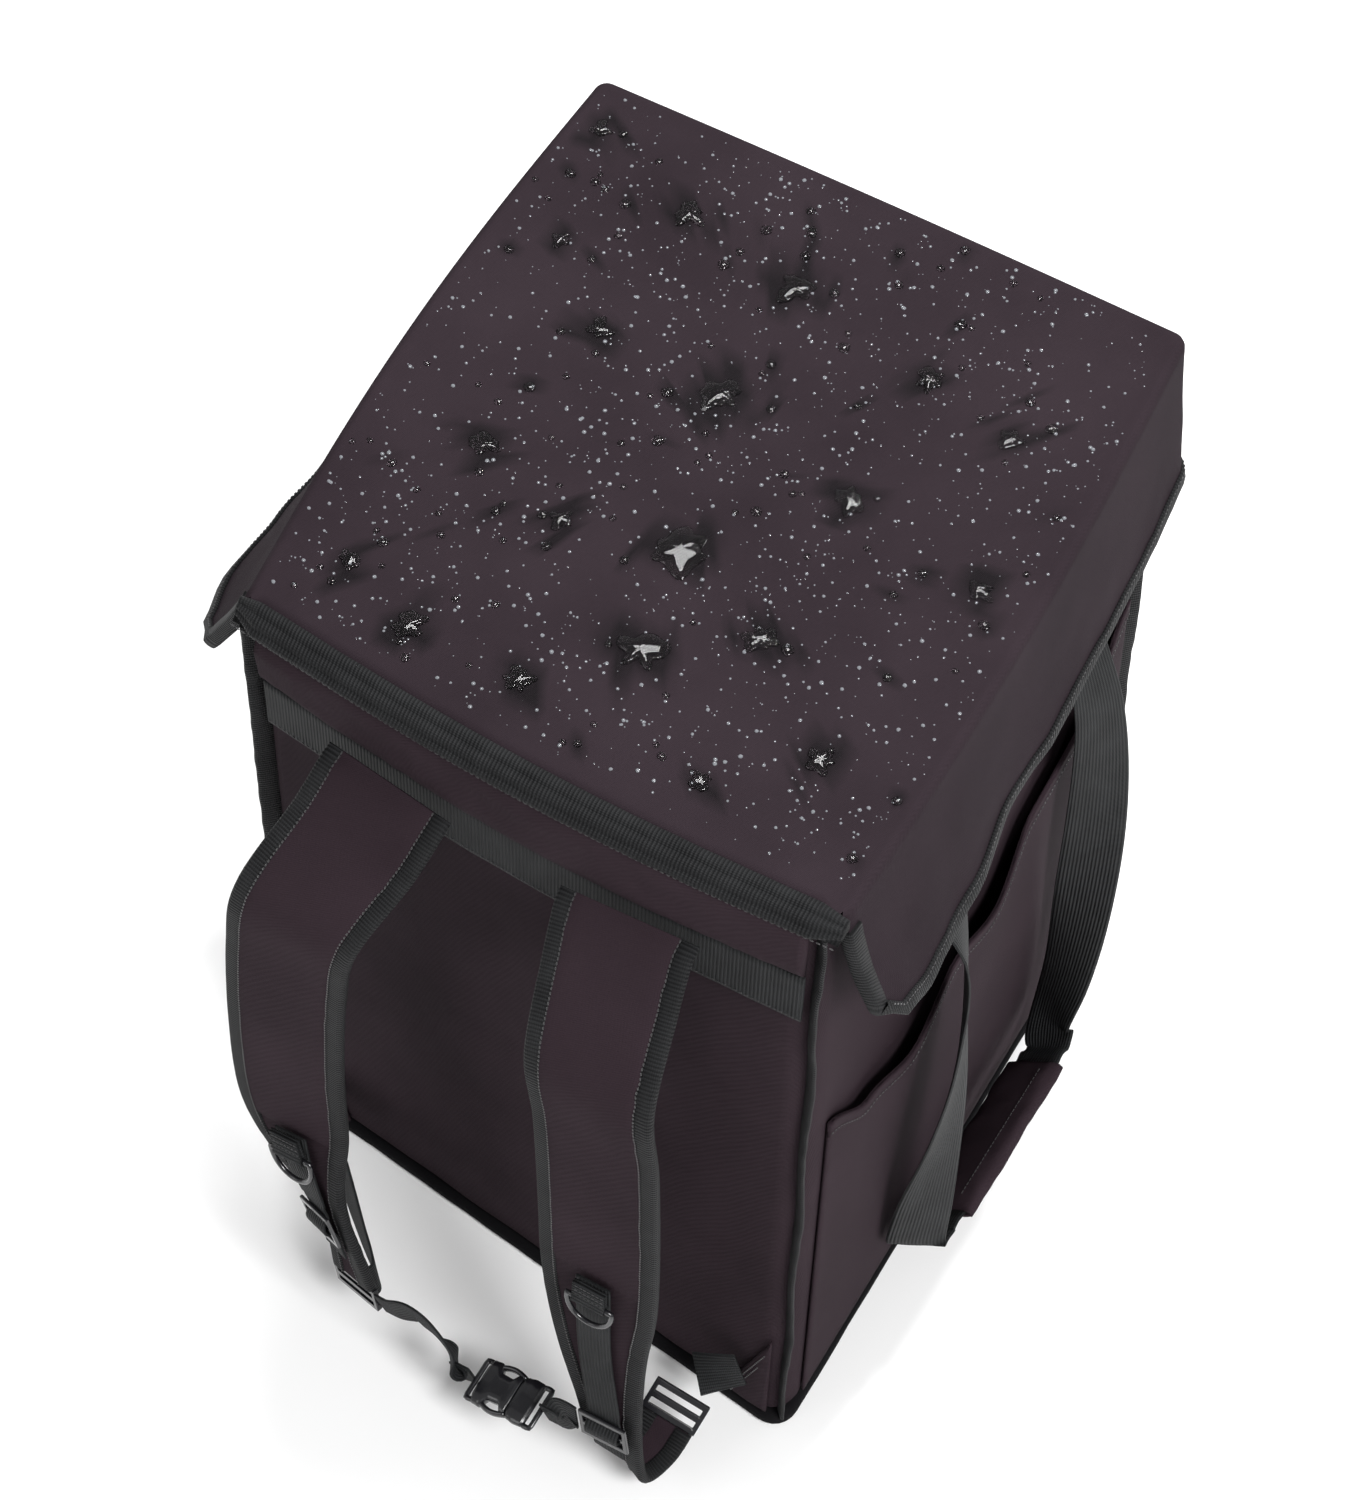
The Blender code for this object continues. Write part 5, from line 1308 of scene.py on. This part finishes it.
def make_buckle(start, stop, up, plastic):
    """Closed side-release buckle: a waisted socket with side windows, the pronged half's arms
    that show in them, and a slotted frame for the webbing at each end."""
    ahead = (stop - start).normalized()
    across = up.cross(ahead).normalized()
    face = ahead.cross(across).normalized()
    half = BUCKLE_WIDTH / 2

    def place(rows):
        return [[start + ahead * p.x + across * p.y + face * p.z for p in row] for row in rows]

    def shell(name, profile, nodes):
        rows = []
        for low, high in zip(profile, profile[1:]):
            for step in range(6):
                t = step / 6
                t = t * t * (3 - 2 * t)
                x, wide, thick = (lerp(low[k], high[k], t) for k in range(3))
                x = lerp(low[0], high[0], step / 6)
                rows.append(section(x, wide, thick))
        rows.append(section(*profile[-1]))
        finish_piece(loft(name, place(rows)), plastic, nodes)

    def section(x, wide, thick):
        row = []
        for a, b in circle(24):
            a = squarer(a, 0.55)
            b = squarer(b, 0.6) * (1.0 - 0.16 * (1 - abs(a)) ** 2)
            row.append(Vector((x * BUCKLE_LENGTH, a * wide * half, b * thick * BUCKLE_THICKNESS / 2)))
        return row

    shell("buckle_socket", BUCKLE_SOCKET, ["chest_buckle_female"])
    shell("buckle_prong", BUCKLE_PRONG, ["chest_buckle_male"])
    for name, low, high, wide in (
        ("buckle_frame_socket", 0.03, 0.13, 0.84), ("buckle_frame_prong", 0.85, 0.97, 0.86),
    ):
        corners = ((low, -wide), (high, -wide), (high, wide), (low, wide))
        points = []
        for (x1, y1), (x2, y2) in zip(corners, corners[1:] + corners[:1]):
            for share in (0.08, 0.3, 0.5, 0.7, 0.92):
                points.append(Vector((lerp(x1, x2, share) * BUCKLE_LENGTH, lerp(y1, y2, share) * half, 0.0)))
        rows = rod_rows(points, BUCKLE_ROD, BUCKLE_ROD * 0.85, looped=True)
        frame = loft(name, place(rows), looped=True)
        finish_piece(frame, plastic, [])
    for name, side in (("buckle_arm_one", 1), ("buckle_arm_two", -1)):
        points = []
        for share in shares(12):
            bulge = 0.80 + 0.14 * math.sin(math.pi * share)
            points.append(Vector((lerp(0.24, 0.60, share) * BUCKLE_LENGTH, side * bulge * half, 0.0)))
        arm = loft(name, place(rod_rows(points, BUCKLE_ROD, 0.0030)))
        finish_piece(arm, plastic, [])


def make_handle(side_name, side, webbing, fabric, with_grip, thread):
    head = BAG_HEIGHT - FLAP_LENGTH * HANDLE_ROOT_SHARE
    rows = []
    for end in (1, -1):
        leg = []
        for drop, reach, inward, turn_front, turn_back in HANDLE_LEG:
            y = end * HANDLE_SPACING * (0.5 - inward)
            z = head - drop * HANDLE_DROP
            x = side_face_x(z) + WEBBING_THICKNESS / 2 + 2 * TAPE_GAP + reach * HANDLE_REACH
            centre = soft(side * x, y, z)
            wall_way = (soft(side * x, y + FIT_GAP, z) - centre).normalized()
            turn = math.radians(turn_front if end > 0 else turn_back)
            leg.append((centre, Matrix.Rotation(-side * turn, 3, "Z") @ wall_way))
        rows.append(leg)
    front, back = rows
    low = min(front[-1][0].z, back[-1][0].z) - HANDLE_TURN
    x = (front[-1][0].x + back[-1][0].x) / 2 + side * GRIP_SHIFT
    tilt = math.radians(GRIP_TILT)
    run_across = Vector((side * math.cos(tilt), 0, math.sin(tilt)))
    middle_y = (front[-1][0].y + back[-1][0].y) / 2
    run = []
    for share in (0.64, 0.57, 0.5, 0.25, 0.0, -0.25, -0.5, -0.57, -0.64):
        run.append((Vector((x, middle_y + share * GRIP_LENGTH, low)), run_across))
    path = front + run + list(reversed(back))
    frames = band_piece(f"handle_webbing_{side_name}", path, WIDE_WEBBING, webbing, HANDLE_STEPS, 0.012)
    if not with_grip:
        return
    first = (len(front) + 2) * HANDLE_STEPS
    last = first + (len(run) - 5) * HANDLE_STEPS
    start, stop = frames[first][0], frames[last][0]
    across, normal = frames[first][1], frames[first][2]
    sections, line = [], []
    count = 46
    for layer, order in ((0, range(count + 1)), (1, range(count, -1, -1))):
        for step in order:
            share = step / count
            centre = start.lerp(stop, share)
            near_end = min(share, 1 - share)
            flare = 1.0 + 0.05 * math.exp(-near_end * 30)
            row = []
            for turn, (a, b) in enumerate(circle(32)):
                a, b = squarer(a, 0.5), squarer(b, 0.75)
                if layer:
                    half, thick = WIDE_WEBBING / 2 + 0.001, WEBBING_THICKNESS / 2 + 0.0012
                else:
                    half = GRIP_WIDTH / 2 * flare
                    thick = GRIP_THICKNESS / 2 * (1.0 - 0.35 * math.exp(-near_end * 26))
                crease = 0.0012 * ripple(a * 2.2, share * 9, b + 4) * (1 - layer)
                ragged = (0.5 - share) * 0.02 * math.exp(-near_end * 40) * ripple(turn * 0.6, 3, share)
                shift = (stop - start) * ragged
                row.append(centre + shift + across * a * (half + crease) + normal * b * (thick + crease))
            sections.append(row)
            if layer == 0:
                up = normal if normal.z > 0 else -normal
                seam_side = 0.014 if across.z < 0 else -0.014
                line.append((centre - across * seam_side + up * (GRIP_THICKNESS / 2 + 0.0002), up))
    grip = loft("grip_sleeve", sections, looped=True)
    finish_piece(grip, fabric, ["handle_grip_right"])
    stitches("grip_stitches", [line[3:-3]], thread, SEAM_GRIP)


# Water

def dome(points, faces, centre, normal, radius, height, sides, rings, wobble, seed):
    side = normal.orthogonal().normalized()
    other = normal.cross(side)
    first = len(points)
    for ring in range(rings):
        angle = math.pi / 2 * ring / rings
        for a, b in circle(sides):
            grow = 1 + wobble * ripple(a * 1.6, b * 1.6, seed)
            flat = radius * grow * math.cos(angle) ** 0.8
            points.append(centre + (side * a + other * b) * flat + normal * height * math.sin(angle))
    points.append(centre + normal * height)
    for ring in range(rings - 1):
        for turn in range(sides):
            after = (turn + 1) % sides
            low, high = first + ring * sides, first + (ring + 1) * sides
            faces.append((low + turn, low + after, high + after, high + turn))
    high = first + (rings - 1) * sides
    for turn in range(sides):
        faces.append((high + turn, high + (turn + 1) % sides, first + rings * sides))
    faces.append(tuple(first + turn for turn in reversed(range(sides))))


def make_water(lid, clear, bead_painted_highlight):
    graph = bpy.context.evaluated_depsgraph_get()
    tree = BVHTree.FromObject(lid, graph)
    chance = random.Random(DROP_SEED)
    points, faces, wet = [], [], []
    for u, v, radius in LARGE_DROPS:
        place, normal, _, _ = tree.ray_cast(EYE, pixel_way(u, v))
        if place and normal.z > FLAT_ENOUGH:
            height = 0.0018 + radius * 0.12
            foot = place - normal * DROP_SINK
            dome(points, faces, foot, normal, radius, height, 36, 6, 0.85, u * 0.1)
            wet.append((place, radius * 2.1))
    placed = [(p.x, p.y, r / 2) for p, r in wet]
    # The small beads take the second look, whose light grey base colour is a painted highlight on clear
    # water.
    for (name, count, low, high, sides, rings), material in zip(SMALL_WATER, (clear, bead_painted_highlight)):
        for _ in range(count * 5):
            if count <= 0:
                break
            x = chance.uniform(-0.5, 0.5) * BAG_WIDTH * 0.96
            y = chance.uniform(-0.44, 0.48) * BAG_DEPTH
            radius = low + (high - low) * chance.random() ** 2.2
            dense = ripple(x * 9, y * 9, 5.0)
            if dense < chance.uniform(-0.9, 0.1):
                continue
            if any((x - a) ** 2 + (y - b) ** 2 < (r + radius * 1.15) ** 2 for a, b, r in placed):
                continue
            above = soft(x, y, BAG_HEIGHT + 0.03)
            place, normal, _, _ = tree.ray_cast(above, Vector((0, 0, -1)))
            if place and normal.z > 0.6:
                height = radius * (0.75 if radius < 0.002 else 0.5)
                foot = place - normal * DROP_SINK
                dome(points, faces, foot, normal, radius, height, sides, rings, 0.25, x * 90)
                placed.append((place.x, place.y, radius))
                if radius > 0.0025:
                    wet.append((place, radius * 1.6))
                count -= 1
        finish_piece(add_object(name, new_mesh(name, points, faces)), material, [])
        points, faces = [], []
    attribute = lid.data.attributes.new("wet", "FLOAT", "POINT")
    for index, vertex in enumerate(lid.data.vertices):
        value = 0.0
        if vertex.co.z > BAG_HEIGHT - 0.03:
            for place, reach in wet:
                near = (vertex.co - place).length
                near += 0.8 * reach * noise.noise(vertex.co * 70)
                if near < reach:
                    value = max(value, min(1.0, (reach - near) / (0.35 * reach)))
        attribute.data[index].value = value * 0.85


# Camera and light

AZIMUTH, ELEVATION, ROLL = math.radians(29.835), math.radians(56.078), math.radians(1.093)
TARGET = Vector((-0.0231, 0.0, 0.3116))
DISTANCE = 2.595
BACK = Vector((
    math.sin(AZIMUTH) * math.cos(ELEVATION), -math.cos(AZIMUTH) * math.cos(ELEVATION), math.sin(ELEVATION),
))
EYE = TARGET + BACK * DISTANCE
LEVEL = (-BACK).cross(Vector((0, 0, 1))).normalized()
UPRIGHT = LEVEL.cross(-BACK)
RIGHT = math.cos(ROLL) * LEVEL + math.sin(ROLL) * UPRIGHT
UP = -math.sin(ROLL) * LEVEL + math.cos(ROLL) * UPRIGHT

WORLD_STRENGTH = 0.42
FLOOR_REACH = 12.0

# Area lights: name, place, aim, diameter, power in watts
LIGHTS = (
    ("key", (2.2, -1.0, 2.6), (0.0, 0.0, 0.35), 1.3, 110.0),
    ("top", (-0.4, 0.9, 3.0), (0.0, 0.0, 0.4), 1.2, 70.0),
    ("glint", (0.5, 2.6, 2.2), (0.0, 0.0, 0.6), 0.30, 40.0),
    ("fill", (-1.6, -2.4, 1.8), (0.0, 0.0, 0.3), 1.8, 16.0),
)


def pixel_way(u, v):
    """The way from the camera through a pixel of the photograph."""
    across, down = u - CENTRE_PIXEL[0], v - CENTRE_PIXEL[1]
    return (-BACK + RIGHT * across / FOCUS - UP * down / FOCUS).normalized()


def make_camera():
    data = bpy.data.cameras.new("camera")
    data.sensor_width = 36.0
    data.lens = FOCUS / max(PICTURE) * data.sensor_width
    data.shift_x = (PICTURE[0] / 2 - CENTRE_PIXEL[0]) / max(PICTURE)
    data.shift_y = (CENTRE_PIXEL[1] - PICTURE[1] / 2) / max(PICTURE)
    data.clip_start, data.clip_end = 0.1, 50.0
    camera = add_object("camera", data)
    turning = Matrix((RIGHT, UP, BACK)).transposed().to_4x4()
    camera.matrix_world = Matrix.Translation(EYE) @ turning
    bpy.context.scene.camera = camera


def area_light(name, place, target, size, power):
    data = bpy.data.lights.new(name, "AREA")
    data.shape = "DISK"
    data.size = size
    data.energy = power
    light = add_object(name, data)
    light.location = place
    light.rotation_mode = "QUATERNION"
    light.rotation_quaternion = (Vector(target) - Vector(place)).to_track_quat("-Z", "Y")


def make_studio():
    scene = bpy.context.scene
    scene.view_settings.view_transform = "Standard"
    world = bpy.data.worlds.new("studio")
    world.use_nodes = True
    background = world.node_tree.nodes["Background"]
    background.inputs["Color"].default_value = (1.0, 1.0, 1.0, 1.0)
    background.inputs["Strength"].default_value = WORLD_STRENGTH
    scene.world = world
    for light in LIGHTS:
        area_light(*light)
    corners = [(-FLOOR_REACH, -FLOOR_REACH, 0), (FLOOR_REACH, -FLOOR_REACH, 0),
               (FLOOR_REACH, FLOOR_REACH, 0), (-FLOOR_REACH, FLOOR_REACH, 0)]
    floor = add_object("floor", new_mesh("floor", corners, [(0, 1, 2, 3)]))
    floor.data.materials.append(Look("floor_paper", (0.92, 0.92, 0.92), 0.9).material)


def main():
    for obj in list(bpy.data.objects):
        bpy.data.objects.remove(obj, do_unlink=True)
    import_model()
    make_camera()
    make_studio()
    cloth = fabric_material("twill", (0.0155, 0.0098, 0.0128), (0.034, 0.0225, 0.0285))
    lid_cloth = fabric_material("twill_lid", (0.013, 0.0088, 0.0115), (0.029, 0.0205, 0.0255), wet=True)
    base_cloth = fabric_material("coated_base", (0.003, 0.003, 0.0035), (0.008, 0.0075, 0.0085))
    tape = ribbed_material("binding", (0.0035, 0.0035, 0.004), (0.017, 0.0175, 0.0185), False, TAPE_RIB)
    webbing = ribbed_material("webbing", WEBBING_DARK, WEBBING_LIGHT, True, WEBBING_RIB)
    cross_webbing = ribbed_material("cross_webbing", WEBBING_DARK, WEBBING_LIGHT, False, WEBBING_RIB)
    plastic, thread = plastic_material(), thread_material()
    make_body(cloth)
    make_base(base_cloth)
    lid = make_lid(lid_cloth)
    make_lid_binding(tape, thread)
    make_hinge(tape, thread)
    make_back_strip(cloth)
    make_back_webbing(cross_webbing, thread)
    make_pocket(cloth, thread)
    locks, sliders = {}, {}
    for side_name, side, rows, stations in (
        ("left", -1, STRAP_LEFT, LEFT_STATIONS), ("right", 1, STRAP_RIGHT, RIGHT_STATIONS),
    ):
        for end_name, end in (("back", -1), ("front", 1)):
            make_edge(f"edge_binding_{end_name}_{side_name}", side, end, tape)
        frames = make_strap(side_name, side, rows, stations, cloth, tape, thread)
        sliders[side_name] = make_fittings(side_name, frames, stations, webbing, plastic, thread)
        centre, across, normal = frames[-1]
        ahead = (frames[-1][0] - frames[-2][0]).normalized()
        locks[side_name] = (centre + ahead * (LOCK_HEIGHT / 2 + FIT_GAP), across, ahead, normal)
        make_patch(side_name, side, cloth, thread)
        make_lower_webbing(side_name, side, locks[side_name], webbing)
        make_handle(side_name, side, webbing, cloth, side > 0, thread)
    make_chest(sliders["right"], locks["left"], webbing, plastic)
    # The beads' look has a light grey base colour and only part transmission. This is a painted highlight
    # that stands in for the lamps' sparkle on clear water beads.
    make_water(lid, water_material("water", (1.0, 1.0, 1.0), 1.0),
               water_material("water_beads", (0.50, 0.52, 0.56), 0.7))
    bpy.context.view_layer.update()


main()
